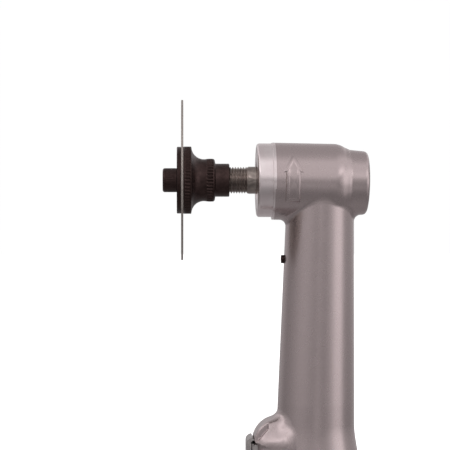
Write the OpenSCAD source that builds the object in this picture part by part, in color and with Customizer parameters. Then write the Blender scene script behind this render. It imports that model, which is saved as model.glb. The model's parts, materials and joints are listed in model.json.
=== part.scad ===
// Right-angle air-driven disc handpiece: a painted casting holds a vane motor, a quill shaft and a pair
// of straight bevel gears, and the spindle carries a thin disc on a trumpet-shaped screwed arbor.
// Frame: the neck axis is Z, the air inlet's mouth is Z = 0, and the disc faces -X.

/* [Angle head] */
// Height of the spindle axis above the inlet mouth
spindle_h = 205; // [180:1:260]
// Outside radius of the head barrel
head_r = 14.45; // [14.2:0.05:17.5]
// Distance from the neck axis forward to the seam of the bearing cap
seam_x = 17.9; // [17.5:0.1:21]
// Length of the barrel behind the neck axis
barrel_rear = 7; // [6.5:0.1:9]
// Distance from the neck axis back to the rear face of the bearing boss
boss_rear = 18.7; // [18.2:0.1:24]
// Radius of the bearing boss where it leaves the barrel
boss_r = 12.4; // [12.2:0.1:14]
// Tilt of the cast outside about the seam, in degrees, down towards the rear
head_droop = 1.1; // [0:0.1:2]
// Drop of the cast outside below the spindle axis
head_drop = 0.35; // [0:0.05:0.5]
// Height that the rotation arrow stands above the barrel
arrow_raise = 0.5; // [0.2:0.1:0.8]

/* [Bearing cap] */
// Outside radius of the cap ring
cap_r = 13.8; // [13.5:0.1:14.4]
// Length of the cap ring that shows
cap_len = 5.7; // [5.5:0.1:8]
// Radius of the threaded spigot behind the ring
spigot_r = 12.4; // [12.2:0.1:12.8]

/* [Bevel gears] */
// Module at the large end
gear_module = 1; // [0.9:0.01:1.01]
// Teeth on the spindle gear
gear_teeth = 20; // [18:1:20]
// Teeth on the drive pinion
pinion_teeth = 13; // [12:1:13]
// Share of the cone distance that the teeth leave free towards the cone tip
face_start = 0.68; // [0.66:0.01:0.8]
// Thinning of each tooth at the pitch line
backlash = 0.12; // [0.1:0.01:0.25]

/* [Bearings: bore radius, outer radius, width] */
// Front spindle bearing
front_brg = [5, 11, 6]; // [4:0.5:11]
// Rear spindle bearing
rear_brg = [4, 9.5, 6]; // [3:0.5:9.5]
// Both pinion bearings
pinion_brg = [4, 8, 5]; // [3:0.5:8]
// Both motor bearings
motor_brg = [3.5, 7, 5]; // [3:0.5:7]

/* [Spindle and disc] */
// Radius over the spindle's thread
thread_r = 4.95; // [4.5:0.05:5.05]
// Radius of the plain shaft between the cap and the thread
shaft_r = 5.1; // [5.05:0.05:5.4]
// Length of plain shaft that shows in front of the cap
shaft_show = 3.1; // [2:0.1:6]
// Length of thread that shows behind the arbor
thread_show = 7.13; // [3:0.01:12]
// Radius of the disc
disc_r = 30; // [16:0.5:40]
// Thickness of the disc
disc_t = 0.8; // [0.3:0.05:1.2]
// Radius of the arbor's flange
flange_r = 12.6; // [11:0.1:15]
// Thickness of the arbor's flange
flange_t = 3.06; // [2:0.02:5]
// Radius of the concave flare behind the flange
flare_r = 4.7; // [3.9:0.1:5]
// Length of the small knurled band
band_len = 3.9; // [2.5:0.1:6]
// Radius of the arbor's plain sleeve
sleeve_r = 6.2; // [6:0.1:7]
// Length of the arbor's plain sleeve
sleeve_len = 5.37; // [4:0.01:9]
// Radius of the clamp washer
washer_r = 12.5; // [9:0.1:14]
// Thickness of the clamp washer
washer_t = 1.61; // [1:0.01:3]
// Radius of the disc's hole
disc_hole_r = 4; // [3.5:0.1:5]
// Thread radius of the clamp screw
clamp_screw_r = 2.5; // [2:0.5:3]
// Radius of the clamp screw's head
clamp_head_r = 4.5; // [4.2:0.05:5]
// Height of the clamp screw's head
clamp_head_h = 5.3; // [4:0.1:6]

/* [Neck and pinion cartridge] */
// Outside radius of the pinion cartridge
cartridge_r = 9.5; // [9:0.1:9.8]
// Length of the pinion cartridge
cartridge_len = 31.8; // [28:0.1:38]
// Radius of the bore in the neck below the cartridge
neck_bore_r = 9.9; // [9.8:0.1:10.5]
// Neck axis to the rear edge of the neck
neck_rear = 13; // [12.5:0.1:14.5]
// Neck axis to the front edge of the neck, at its top
neck_front_top = 12.6; // [12.3:0.1:14]
// Neck axis to the front edge of the neck, at its foot
neck_front_foot = 16; // [14:0.1:17]
// Radius of the cartridge's set screw
set_screw_r = 1.6; // [1.5:0.1:2]
// Distance from the cartridge's top down to the set screw
set_screw_drop = 16.9; // [12:0.1:20]
// Hexagonal quill shaft, centre to corner
quill_r = 2.3; // [2:0.05:2.4]

/* [Motor] */
// Radius of the motor bore
motor_r = 13; // [12.6:0.1:16]
// Wall of the handle around the motor bore
handle_wall = 2.5; // [2:0.1:4]
// Length of the motor cylinder
cylinder_len = 38; // [30:1:50]
// Radius of the rotor
rotor_r = 9.6; // [8.8:0.1:9.9]
// Radius of the cylinder's offset bore
chamber_r = 10.8; // [10.7:0.1:11.4]
// Offset of the cylinder's bore from the rotor axis
chamber_offset = 1; // [0.6:0.1:1]
// Thickness of the front motor plate
front_plate_t = 7.5; // [7:0.1:10]
// Thickness of the rear motor plate
rear_plate_t = 6; // [6:0.1:9]
// Number of vanes
vanes_n = 5; // [4:1:6]
// Thickness of a vane
vane_t = 1.5; // [1.2:0.1:2]
// Depth of a vane
vane_depth = 5; // [4:0.1:5.5]

/* [Handle and backhead] */
// Neck axis to the front of the handle's lobe, less the handle radius
lobe_proud = 8; // [7.6:0.1:12]
// Height of the shoulder's crest above the top of the motor
shoulder_rise = 10; // [9:0.5:15]
// Radius of the shoulder's dome
dome_r = 10; // [8:0.5:12]
// Height of the backhead casting
backhead_h = 24; // [23.5:0.5:32]
// Length of the backhead's spigot inside the handle
spigot_len = 6; // [5:0.5:10]
// Thickness of the gasket
gasket_t = 0.6; // [0.3:0.1:1]

/* [Throttle] */
// Width of the throttle lever
lever_w = 12; // [10:0.5:13]
// Gap on each side of the lever in its channel
lever_gap = 0.5; // [0.3:0.1:1]
// Thickness of the lever's sheet
lever_t = 1.6; // [1.2:0.1:2]
// Lever's outer face in front of the handle's lobe
lever_proud = 4; // [3.8:0.1:6]
// Radius of the lever's pivot pin
pivot_r = 1.25; // [1:0.05:1.3]
// Height of the valve's axis above the backhead's lower face
valve_rise = 14; // [13:0.1:14]
// Radius of the valve chamber
valve_r = 4.4; // [4.2:0.1:4.8]
// Radius of the valve's stem
stem_r = 1.8; // [1.5:0.1:2]

/* [Air inlet and exhaust] */
// Height of the inlet's hexagon
hex_h = 7.6; // [6:0.1:12]
// Hexagon, centre to corner
hex_r = 11; // [10.5:0.1:12]
// Radius of the wall of the inlet's thread, for a G1/4 fitting
inlet_r = 5.8; // [5.7:0.05:5.9]
// Depth of the inlet's thread
inlet_depth = 12; // [11:0.1:14]
// Height of the exhaust deflector
deflector_h = 7.8; // [7:0.1:12]
// Outside radius of the exhaust deflector
deflector_r = 13.5; // [13.2:0.1:14.5]

/* [Hidden] */
// General clearances: a turning fit, a shaft in a free hole, and a gap between separate bodies
run_fit = 0.05;
free_gap = 0.4;
body_gap = 0.3;
cut = 0.01;
smooth = 64;
hull_fn = 32;
pressure_angle = 20;

// Bevel gear pair: pitch radii, cone angles and root depth
gear_pitch_r = gear_module * gear_teeth / 2;
pinion_pitch_r = gear_module * pinion_teeth / 2;
gear_cone = atan(gear_teeth / pinion_teeth);
pinion_cone = 90 - gear_cone;
root_depth = 1.2;
tooth_steps = 5;
gear_web_x = face_start * (pinion_pitch_r + root_depth * gear_module * sin(gear_cone));
gear_back_x = pinion_pitch_r + root_depth * gear_module * sin(gear_cone);
gear_hub_x = gear_back_x + 2.4;
gear_bore_r = rear_brg[0] + 0.5;
key_w = 1.5;
key_h = 1.4;
key_z = gear_bore_r - 0.8;
key_len = gear_back_x - gear_web_x - 0.4;

// Stations along the spindle, measured forward from the neck axis
cap_face = seam_x + cap_len;
cap_spigot_len = 4;
cap_edge = 0.8;
cap_edge_in = 0.6;
pin_hole_r = 1;
seal_front = cap_face - 2;
seal_len = 3.5;
seal_r = shaft_r + 3;
front_brg_front = seam_x - cap_spigot_len;
front_brg_back = front_brg_front - front_brg[2];
shaft_front = cap_face + shaft_show;
sleeve_back = shaft_front + thread_show;
band_back = sleeve_back + sleeve_len;
band_r = flange_r - flare_r + 0.15;
flare_back = band_back + band_len + 0.2;
flange_back = flare_back + flare_r;
disc_back = flange_back + flange_t;
disc_front = disc_back + disc_t;
washer_front = disc_front + washer_t;
clamp_head_front = washer_front + clamp_head_h;
clamp_socket = 2.6;
spindle_tip = disc_back - 5.5;
hub_web_back = spindle_tip + 0.5;

// Stations of the rear bearing, measured backward from the neck axis
boss_wall = 1.4;
cavity_rear = gear_back_x + 0.5;
rear_brg_end = boss_rear - boss_wall - 1;
rear_brg_start = rear_brg_end - rear_brg[2];
cavity_r = front_brg[1] - 0.25;
clip_t = 0.6;
clip_sink = 0.4;
spindle_end = rear_brg_end + 0.7;
boss_start = barrel_rear + 3.5;
boss_taper = 0.65;

// Heights
deflector_z = hex_h + free_gap;
backhead_z = deflector_z + deflector_h + 0.2;
backhead_top = backhead_z + backhead_h;
handle_z = backhead_top + gasket_t;
rear_plate_z = backhead_top + spigot_len;
cylinder_z = rear_plate_z + rear_plate_t;
front_plate_z = cylinder_z + cylinder_len;
motor_top = front_plate_z + front_plate_t;
shoulder_z = motor_top + shoulder_rise;
pinion_back_z = spindle_h - gear_pitch_r - root_depth * gear_module * sin(pinion_cone);
cartridge_top = pinion_back_z - 2.05;
cartridge_z = cartridge_top - cartridge_len;
cartridge_lip = 0.5;
upper_brg_z = cartridge_top - cartridge_lip - pinion_brg[2];
cartridge_seat = 1.8;
lower_brg_z = cartridge_z + cartridge_seat;
set_screw_z = cartridge_top - set_screw_drop;
set_screw_end = neck_front_top + 1.8;
set_socket_r = 0.87;
socket_depth = 10;
pinion_shaft_z = cartridge_z + 0.4;
rotor_shaft_top = motor_top + 6;
motor_fit = 0.03;
dowel_r = 0.75;
dowel_sink = 3;
port_r = 1.5;
port_pitch = 8;
valve_z = backhead_z + valve_rise;

// The handle's section: a round around the motor and a squarer lobe in front for the lever
handle_r = motor_r + handle_wall;
lobe_front = handle_r + lobe_proud;
lobe_corner = 4;
channel_w = lever_w + 2 * lever_gap;
channel_floor = lobe_front - 3;
lobe_half = channel_w / 2 + 3;
handle_screw_x = motor_r + 3.2;
handle_screw_y = channel_w / 2 - 0.2;
handle_screw_r = 2;
screw_hold = 20;

// Lever
lever_face = lobe_front + lever_proud;
lever_inner = lever_face - lever_t;
pivot_x = channel_floor + 0.3;
pivot_z = shoulder_z - 6.5;
lever_end_z = backhead_z + 8;
pocket_x = channel_floor - 2.7;
pocket_drop = 8.5;
flange_w = 1.4;
lever_cheek = lever_w / 2 - 0.3;

// Throttle valve, stations forward of the neck axis (negative ones lie behind it)
stem_tip = lever_inner - 0.1;
guide_front = channel_floor;
guide_back = 11;
seat_front = 5;
seat_t = 2.5;
poppet_front = seat_front - seat_t;
poppet_t = 2.2;
poppet_r = valve_r - 0.8;
spring_seat = poppet_front - poppet_t;
spring_r = 2.9;
spring_wire = 0.4;
spring_turns = 5;
plug_front = -9;
plug_back = -(handle_r - 0.3);
valve_ring_x = 16;
valve_ring_r = 0.6;
passage_x = 9.5;
passage_r = 1.9;
regulator_z = valve_z + 6.6;
regulator_r = 2.4;
regulator_face = handle_r - 3.8;
regulator_ring_r = 0.55;
regulator_ring_y = 7.7;
exhaust_at = [5.4, 9.35];
exhaust_r = 1.6;

// Inlet bushing
bushing_thread_r = 8.2;
collar_r = 9;
bushing_top = backhead_z + 8.5;
washer_h = 0.8;
inner_way_r = 4.2;

// ---------- Shared shapes ----------

// A cylinder between two heights.
module post(z0, z1, r, fn = smooth)
    translate([0, 0, z0]) cylinder(r = r, h = z1 - z0, $fn = fn);

// A cone between two heights.
module taper(z0, z1, r0, r1)
    translate([0, 0, z0]) cylinder(r1 = r0, r2 = r1, h = z1 - z0, $fn = smooth);

// A ring between two heights.
module ring(z0, z1, r_out, r_in)
    difference() {
        post(z0, z1, r_out);
        post(z0 - cut, z1 + cut, r_in);
    }

// Local +Z points forward along the spindle axis, and local +X points up.
module on_spindle()
    translate([0, 0, spindle_h]) rotate([0, -90, 0]) children();

// Local +Z points forward along the valve's axis.
module on_valve()
    translate([0, 0, valve_z]) rotate([0, -90, 0]) children();

// Local +Z points along +Y from a point of the middle plane.
module across(x, z)
    translate([x, 0, z]) rotate([-90, 0, 0]) children();

// ---------- Ball bearings ----------

function brg_pitch(b) = (b[0] + b[1]) / 2;
function brg_ball(b) = 0.265 * (b[1] - b[0]);
function brg_count(b) = floor(0.6 * PI * brg_pitch(b) / brg_ball(b));

module brg_groove(b)
    translate([brg_pitch(b), b[2] / 2]) circle(r = brg_ball(b) + run_fit, $fn = smooth);

// The outer ring, from z = 0 to the bearing's width.
module brg_outer(b)
    rotate_extrude($fn = smooth) difference() {
        land = brg_pitch(b) + 0.55 * brg_ball(b);
        translate([land, 0]) square([b[1] - land, b[2]]);
        brg_groove(b);
    }

module brg_inner(b)
    rotate_extrude($fn = smooth) difference() {
        land = brg_pitch(b) - 0.55 * brg_ball(b);
        translate([b[0], 0]) square([land - b[0], b[2]]);
        brg_groove(b);
    }

// The balls and the ribbon cage that spaces them.
module brg_balls(b) {
    n = brg_count(b);
    ball = brg_ball(b);
    module row(r)
        for (i = [0:n - 1])
            rotate(360 / n * i) translate([brg_pitch(b), 0, b[2] / 2]) sphere(r = r, $fn = hull_fn);
    row(ball);
    difference() {
        ring(b[2] / 2 - 0.6 * ball, b[2] / 2 + 0.6 * ball, brg_pitch(b) + 0.3 * ball,
             brg_pitch(b) - 0.3 * ball);
        row(ball + run_fit);
    }
}

// ---------- Straight bevel gears, after Tredgold ----------

function involute(a) = tan(a) * 180 / PI - a;

// Half of a tooth's angle at radius rho of the back cone's flat gear.
function tooth_half(rho, rv, zv) =
    let (base = rv * cos(pressure_angle))
    90 / zv - backlash / (2 * rv) * 180 / PI + involute(pressure_angle)
    - (rho > base ? involute(acos(base / rho)) : 0);

// One tooth's outline, root to tip and back, as pairs of radius and angle.
function tooth_outline(rv, zv, m) =
    let (root = rv - root_depth * m, tip = rv + m)
    let (rhos = [for (i = [0:tooth_steps - 1]) root + (tip - root) * i / (tooth_steps - 1)])
    concat(
        [for (rho = rhos) [rho, -tooth_half(rho, rv, zv)]],
        [for (i = [tooth_steps - 1:-1:0]) [rhos[i], tooth_half(rhos[i], rv, zv)]]
    );

// A crown of teeth with its axis on +Z and the pitch cone's tip at the origin.
module bevel_crown(teeth, cone, m, phase) {
    r = m * teeth / 2;
    rv = r / cos(cone);
    outline = tooth_outline(rv, teeth / cos(cone), m);
    k = len(outline);
    n = teeth * k;
    web = r / tan(cone) + root_depth * m * sin(cone);
    function on_cone(rho, turn, s) = [
        s * rho * cos(cone) * cos(turn),
        s * rho * cos(cone) * sin(turn),
        s * (r / tan(cone) - (rho - rv) * sin(cone))
    ];
    function crown(s) = [
        for (t = [0:teeth - 1], p = outline) on_cone(p[0], phase + 360 / teeth * t + p[1] / cos(cone), s)
    ];
    polyhedron(
        points = concat(crown(1), crown(face_start), [[0, 0, web], [0, 0, face_start * web]]),
        faces = concat(
            [for (i = [0:n - 1]) [i, (i + 1) % n, n + (i + 1) % n]],
            [for (i = [0:n - 1]) [i, n + (i + 1) % n, n + i]],
            [for (i = [0:n - 1]) [2 * n, (i + 1) % n, i]],
            [for (i = [0:n - 1]) [2 * n + 1, n + i, n + (i + 1) % n]]
        )
    );
}

// ---------- Casting ----------

// The handle's outline, shrunk by inset.
module handle_outline(inset = 0)
    hull() {
        circle(r = handle_r - inset, $fn = smooth);
        for (s = [-1, 1])
            translate([-(lobe_front - lobe_corner), s * (lobe_half - lobe_corner)])
                circle(r = lobe_corner - inset, $fn = smooth / 2);
    }

// A thin oval slice of the neck.
module neck_slice(z, front, rear, half)
    translate([(rear - front) / 2, 0, z])
        scale([(rear + front) / 2, half, 1]) cylinder(r = 1, h = 0.1, $fn = smooth);

module neck() {
    hull() {
        neck_slice(spindle_h - 4, neck_front_top - 0.5, neck_rear, neck_rear - 0.3);
        neck_slice(shoulder_z + 14, neck_front_foot - 0.4, neck_rear + 0.1, handle_r - 1.4);
    }
    hull() {
        neck_slice(shoulder_z + 14, neck_front_foot - 0.4, neck_rear + 0.1, handle_r - 1.4);
        neck_slice(shoulder_z + 5, neck_front_foot, neck_rear + 0.4, handle_r - 1);
        neck_slice(shoulder_z - 12, neck_front_foot, handle_r - cut, handle_r - cut);
    }
}

// The shoulder where the neck swells into the handle, with a flat milled on each side of the nose.
module shoulder() {
    dome_x = lobe_front + 1.5 - dome_r;
    flat_x = -(lobe_front - 3.9);
    flat_foot = shoulder_z + 5.1;
    ledge_x = -(lobe_front - 0.2);
    ledge_z = shoulder_z + 0.6;
    clear_x = -(lobe_front + 9);
    clear_z = shoulder_z + 20;
    difference() {
        hull() {
            translate([-dome_x, 0, shoulder_z]) sphere(r = dome_r, $fn = hull_fn);
            translate([0, 0, shoulder_z - 12]) linear_extrude(12) handle_outline(0.2);
            neck_slice(shoulder_z + 6, neck_front_foot - 1, neck_rear - 1, handle_r - 2);
        }
        for (s = [-1, 1])
            translate([0, s * (channel_w / 2 + 10), 0]) rotate([90, 0, 0])
                linear_extrude(20, center = true) polygon([
                    [flat_x, clear_z], [flat_x, flat_foot], [ledge_x, ledge_z],
                    [clear_x, ledge_z], [clear_x, clear_z]
                ]);
    }
}

// The cast outside of the head: the spindle's frame, dropped and tilted about the seam.
module on_casting()
    on_spindle() translate([-head_drop, 0, seam_x]) rotate([0, head_droop, 0]) translate([0, 0, -seam_x])
        children();

// The outside of the head: barrel, cone and bearing boss, cut off square at the seam.
module head_skin()
    difference() {
        on_casting() {
            post(-barrel_rear, seam_x + 1, head_r);
            taper(-boss_start, -barrel_rear, boss_r, head_r);
            taper(-boss_rear, -boss_start, boss_r - boss_taper, boss_r);
        }
        on_spindle() post(seam_x, seam_x + 5, head_r + 5);
    }

// Arrow on the side of the barrel that moves upward past the viewer.
module rotation_arrow() {
    mid = seam_x - 7.2;
    half = 3.2;
    shaft = 2.4;
    foot = -7.6;
    neck = 3.3;
    tip = 9.4;
    intersection() {
        translate([-mid, 0, spindle_h]) rotate([90, 0, 0]) linear_extrude(head_r + 5) polygon([
            [0, tip], [-half, neck], [-shaft, neck], [-shaft, foot],
            [shaft, foot], [shaft, neck], [half, neck]
        ]);
        on_casting() post(mid - half - 1, mid + half + 1, head_r + arrow_raise);
    }
}

module lever_channel(z0, z1)
    translate([-(lobe_front + 10), -channel_w / 2, z0])
        cube([10 + lobe_front - channel_floor, channel_w, z1 - z0]);

module handle_screw_holes(z0, z1, r)
    for (s = [-1, 1])
        translate([-handle_screw_x, s * handle_screw_y, 0]) post(z0, z1, r);

module main_housing()
    color([0.62, 0.6, 0.6]) difference() {
        union() {
            head_skin();
            rotation_arrow();
            neck();
            shoulder();
            translate([0, 0, handle_z]) linear_extrude(shoulder_z - 10 - handle_z) handle_outline();
        }
        on_spindle() {
            post(front_brg_front, seam_x + 1, spigot_r);
            post(front_brg_back, seam_x, front_brg[1]);
            post(-cavity_rear, seam_x, cavity_r);
            post(-(rear_brg_end + 1), 0, rear_brg[1]);
        }
        post(cartridge_top - cut, spindle_h, pinion_brg[1]);
        post(cartridge_z - 1, cartridge_top, cartridge_r);
        post(motor_top - cut, cartridge_z - 1, neck_bore_r);
        post(handle_z - 1, motor_top, motor_r);
        translate([0, 0, set_screw_z]) rotate([0, -90, 0])
            post(cartridge_r - 1, neck_front_top + 5, set_screw_r);
        lever_channel(handle_z - 1, shoulder_z + 0.2);
        translate([-(lobe_front + 1), -channel_w / 2, pivot_z - pocket_drop])
            cube([lobe_front + 1 - pocket_x, channel_w, shoulder_z + 0.2 - pivot_z + pocket_drop]);
        across(-pivot_x, pivot_z) post(-lobe_half - 5, lobe_half + 5, pivot_r);
        handle_screw_holes(handle_z - 1, handle_z + screw_hold, handle_screw_r);
    }

module front_bearing_cap()
    color([0.9, 0.88, 0.88]) on_spindle() difference() {
        union() {
            post(seam_x, cap_face - cap_edge, cap_r);
            taper(cap_face - cap_edge, cap_face, cap_r, cap_r - cap_edge_in);
            post(front_brg_front, seam_x, spigot_r);
        }
        post(front_brg_front - 1, cap_face + 1, shaft_r + free_gap);
        post(front_brg_front - 1, front_brg_front + 2.4, front_brg[1] - 1.8);
        post(front_brg_front + 2, seal_front, seal_r);
        for (s = [-1, 1])
            translate([s * (cap_r - 2.6), 0, 0]) post(cap_face - 2, cap_face + 1, pin_hole_r);
    }

module spindle_seal()
    color("black") on_spindle() ring(seal_front - seal_len, seal_front, seal_r, shaft_r + run_fit);

module front_bearing_outer()
    color("silver") on_spindle() translate([0, 0, front_brg_back]) brg_outer(front_brg);

module front_bearing_inner()
    color("silver") on_spindle() translate([0, 0, front_brg_back]) brg_inner(front_brg);

module front_bearing_balls()
    color("gold") on_spindle() translate([0, 0, front_brg_back]) brg_balls(front_brg);

module rear_bearing_outer()
    color("silver") on_spindle() translate([0, 0, -rear_brg_end]) brg_outer(rear_brg);

module rear_bearing_inner()
    color("silver") on_spindle() translate([0, 0, -rear_brg_end]) brg_inner(rear_brg);

module rear_bearing_balls()
    color("gold") on_spindle() translate([0, 0, -rear_brg_end]) brg_balls(rear_brg);

// Spring washer that loads the rear bearing's outer ring.
module preload_washer()
    color("gray") on_spindle()
        ring(-(rear_brg_end + 1), -rear_brg_end, rear_brg[1] - 0.05, rear_brg[1] - 1.4);

// ---------- Pinion cartridge ----------

module pinion_cartridge()
    color("silver") difference() {
        post(cartridge_z, cartridge_top, cartridge_r);
        post(cartridge_top - 1, cartridge_top + 1, pinion_brg[1] - 1);
        post(upper_brg_z, cartridge_top - cartridge_lip, pinion_brg[1]);
        post(lower_brg_z + pinion_brg[2] - cut, upper_brg_z + cut, pinion_brg[1] - 0.6);
        post(cartridge_z - 1, lower_brg_z + pinion_brg[2], pinion_brg[1]);
        post(lower_brg_z - 0.9, lower_brg_z, pinion_brg[1] + 0.5);
        translate([0, 0, set_screw_z]) rotate([0, -90, 0])
            post(cartridge_r - 0.5, cartridge_r + 1, set_screw_r);
    }

module upper_pinion_bearing_outer()
    color("silver") translate([0, 0, upper_brg_z]) brg_outer(pinion_brg);

module upper_pinion_bearing_inner()
    color("silver") translate([0, 0, upper_brg_z]) brg_inner(pinion_brg);

module upper_pinion_bearing_balls()
    color("gold") translate([0, 0, upper_brg_z]) brg_balls(pinion_brg);

module lower_pinion_bearing_outer()
    color("silver") translate([0, 0, lower_brg_z]) brg_outer(pinion_brg);

module lower_pinion_bearing_inner()
    color("silver") translate([0, 0, lower_brg_z]) brg_inner(pinion_brg);

module lower_pinion_bearing_balls()
    color("gold") translate([0, 0, lower_brg_z]) brg_balls(pinion_brg);

module cartridge_circlip()
    color("gray") difference() {
        ring(lower_brg_z - 0.9, lower_brg_z, pinion_brg[1] + 0.5, pinion_brg[1] - 1.1);
        translate([0, 0, lower_brg_z - 2]) cube([20, 3, 4]);
    }

module cartridge_set_screw()
    color("black") translate([0, 0, set_screw_z]) rotate([0, -90, 0]) difference() {
        union() {
            post(cartridge_r - 0.5, set_screw_end - 0.3, set_screw_r);
            taper(set_screw_end - 0.3, set_screw_end, set_screw_r, set_screw_r - 0.3);
        }
        post(set_screw_end - 1.6, set_screw_end + 1, set_socket_r, 6);
    }

// Pinion and shaft in one piece, with a hexagonal socket for the quill shaft.
module pinion_shaft()
    color("dimgray") difference() {
        union() {
            translate([0, 0, spindle_h]) rotate([180, 0, 0])
                bevel_crown(pinion_teeth, pinion_cone, gear_module, 180 / pinion_teeth);
            post(upper_brg_z + pinion_brg[2], pinion_back_z + 0.5, pinion_brg[0] + 1.1);
            post(pinion_shaft_z, pinion_back_z, pinion_brg[0]);
        }
        post(pinion_shaft_z - 1, pinion_shaft_z + socket_depth, quill_r + run_fit, 6);
    }

module pinion_spacer()
    color("silver") ring(lower_brg_z + pinion_brg[2], upper_brg_z, pinion_brg[0] + 1.1, pinion_brg[0]);

// ---------- Spindle ----------

module spindle()
    color("silver") on_spindle() difference() {
        union() {
            post(shaft_front, spindle_tip, thread_r);
            post(front_brg_front, shaft_front, shaft_r);
            post(front_brg_front, front_brg_front + 1.5, shaft_r + 1.3);
            post(-gear_web_x, front_brg_front, front_brg[0]);
            post(-gear_hub_x, -gear_web_x, gear_bore_r);
            post(-spindle_end, -gear_hub_x, rear_brg[0]);
        }
        ring(-(rear_brg_end + clip_t), -rear_brg_end, rear_brg[0] + 1, rear_brg[0] - clip_sink);
        translate([key_z, -key_w / 2, -gear_back_x]) cube([4, key_w, key_len]);
        post(spindle_tip - 11, spindle_tip + 1, clamp_screw_r);
    }

module bevel_gear()
    color("dimgray") difference() {
        union() {
            translate([0, 0, spindle_h]) rotate([0, 90, 0])
                bevel_crown(gear_teeth, gear_cone, gear_module, 0);
            on_spindle() post(-gear_hub_x, -(gear_back_x - 0.5), gear_bore_r + 1.5);
        }
        on_spindle() post(-gear_hub_x - 1, 0, gear_bore_r);
        on_spindle() post(-gear_web_x, 0, front_brg[0] + body_gap);
        on_spindle() translate([0, -key_w / 2, -gear_hub_x - 1])
            cube([key_z + key_h, key_w, gear_hub_x + 1]);
    }

module gear_key()
    color("gray") on_spindle() translate([key_z, -key_w / 2, -gear_back_x]) cube([key_h, key_w, key_len]);

module spindle_circlip()
    color("gray") on_spindle() difference() {
        ring(-(rear_brg_end + clip_t), -rear_brg_end, rear_brg[0] + 1, rear_brg[0] - clip_sink);
        translate([0, -1, -rear_brg_end - 2]) cube([20, 2, 4]);
    }

// Screwed arbor: knurled flange, concave flare, small knurled band and plain sleeve.
module arbor_hub()
    color([0.14, 0.12, 0.12]) on_spindle() difference() {
        union() {
            rotate_extrude($fn = smooth) difference() {
                union() {
                    translate([0, flange_back]) square([flange_r, flange_t]);
                    translate([0, flare_back]) square([flange_r - 0.05, flare_r]);
                }
                translate([flange_r - 0.05, flare_back]) circle(r = flare_r, $fn = smooth);
            }
            post(band_back + 0.8, flare_back, band_r);
            taper(band_back, band_back + 0.8, band_r - 0.8, band_r);
            post(sleeve_back, band_back, sleeve_r);
            post(disc_back, disc_front - 0.2, disc_hole_r);
        }
        post(sleeve_back - 1, hub_web_back, thread_r);
        post(sleeve_back, disc_front + 1, clamp_screw_r + 0.15);
    }

module cutting_disc()
    color([0.7, 0.68, 0.66]) on_spindle() ring(disc_back, disc_front, disc_r, disc_hole_r);

module clamp_washer()
    color([0.16, 0.13, 0.13]) on_spindle() ring(disc_front, washer_front, washer_r, clamp_screw_r + 0.15);

module clamp_screw()
    color([0.16, 0.14, 0.14]) on_spindle() difference() {
        union() {
            post(spindle_tip - 9, washer_front, clamp_screw_r);
            post(washer_front, clamp_head_front - 0.8, clamp_head_r);
            taper(clamp_head_front - 0.8, clamp_head_front, clamp_head_r, clamp_head_r - 0.7);
        }
        post(clamp_head_front - clamp_socket, clamp_head_front + 1, clamp_screw_r - 0.2, 6);
    }

// ---------- Air motor ----------

module quill_shaft()
    color("silver")
        post(rotor_shaft_top - socket_depth + 0.5, pinion_shaft_z + socket_depth - 0.5, quill_r, 6);

module motor_cylinder()
    color("silver") difference() {
        post(cylinder_z, front_plate_z, motor_r - motor_fit);
        translate([chamber_offset, 0, 0]) post(cylinder_z - 1, front_plate_z + 1, chamber_r);
        dowel_place() post(cylinder_z - 1, front_plate_z + 1, dowel_r);
        for (z = [cylinder_z + port_pitch:port_pitch:front_plate_z - 6])
            translate([chamber_r, 0, z]) rotate([0, 90, 0]) cylinder(r = port_r, h = 6, $fn = smooth);
    }

module dowel_place()
    translate([0, -(motor_r + chamber_r) / 2 - 0.05, 0]) children();

module cylinder_dowel()
    color("silver") dowel_place() post(cylinder_z - dowel_sink, front_plate_z + dowel_sink, dowel_r);

module motor_front_plate()
    color("silver") difference() {
        post(front_plate_z, motor_top, motor_r - motor_fit);
        post(motor_top - motor_brg[2], motor_top + 1, motor_brg[1]);
        post(front_plate_z - 1, motor_top, motor_brg[0] + 1);
        dowel_place() post(front_plate_z - 1, front_plate_z + dowel_sink, dowel_r);
    }

module motor_front_bearing_outer()
    color("silver") translate([0, 0, motor_top - motor_brg[2]]) brg_outer(motor_brg);

module motor_front_bearing_inner()
    color("silver") translate([0, 0, motor_top - motor_brg[2]]) brg_inner(motor_brg);

module motor_front_bearing_balls()
    color("gold") translate([0, 0, motor_top - motor_brg[2]]) brg_balls(motor_brg);

module motor_rear_plate()
    color("silver") difference() {
        post(rear_plate_z, cylinder_z, motor_r - motor_fit);
        post(rear_plate_z - 1, rear_plate_z + motor_brg[2], motor_brg[1]);
        post(rear_plate_z, cylinder_z + 1, motor_brg[0] + 1);
        translate([-passage_x, 0, 0]) post(rear_plate_z - 1, cylinder_z + 1, passage_r);
        exhaust_holes(rear_plate_z - 1, cylinder_z + 1);
        dowel_place() post(cylinder_z - dowel_sink, cylinder_z + 1, dowel_r);
    }

module motor_rear_bearing_outer()
    color("silver") translate([0, 0, rear_plate_z]) brg_outer(motor_brg);

module motor_rear_bearing_inner()
    color("silver") translate([0, 0, rear_plate_z]) brg_inner(motor_brg);

module motor_rear_bearing_balls()
    color("gold") translate([0, 0, rear_plate_z]) brg_balls(motor_brg);

module vane_slots(wide, deep, z0, z1, r)
    for (i = [0:vanes_n - 1])
        rotate(360 / vanes_n * i) translate([r - deep, -wide / 2, z0]) cube([deep, wide, z1 - z0]);

module rotor()
    color("silver") difference() {
        union() {
            post(cylinder_z + 0.1, front_plate_z - 0.1, rotor_r);
            post(rear_plate_z + 0.3, rotor_shaft_top, motor_brg[0]);
        }
        vane_slots(vane_t, vane_depth + 1, cylinder_z, front_plate_z, rotor_r + 1);
        post(rotor_shaft_top - socket_depth, rotor_shaft_top + 1, quill_r + run_fit, 6);
    }

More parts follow.
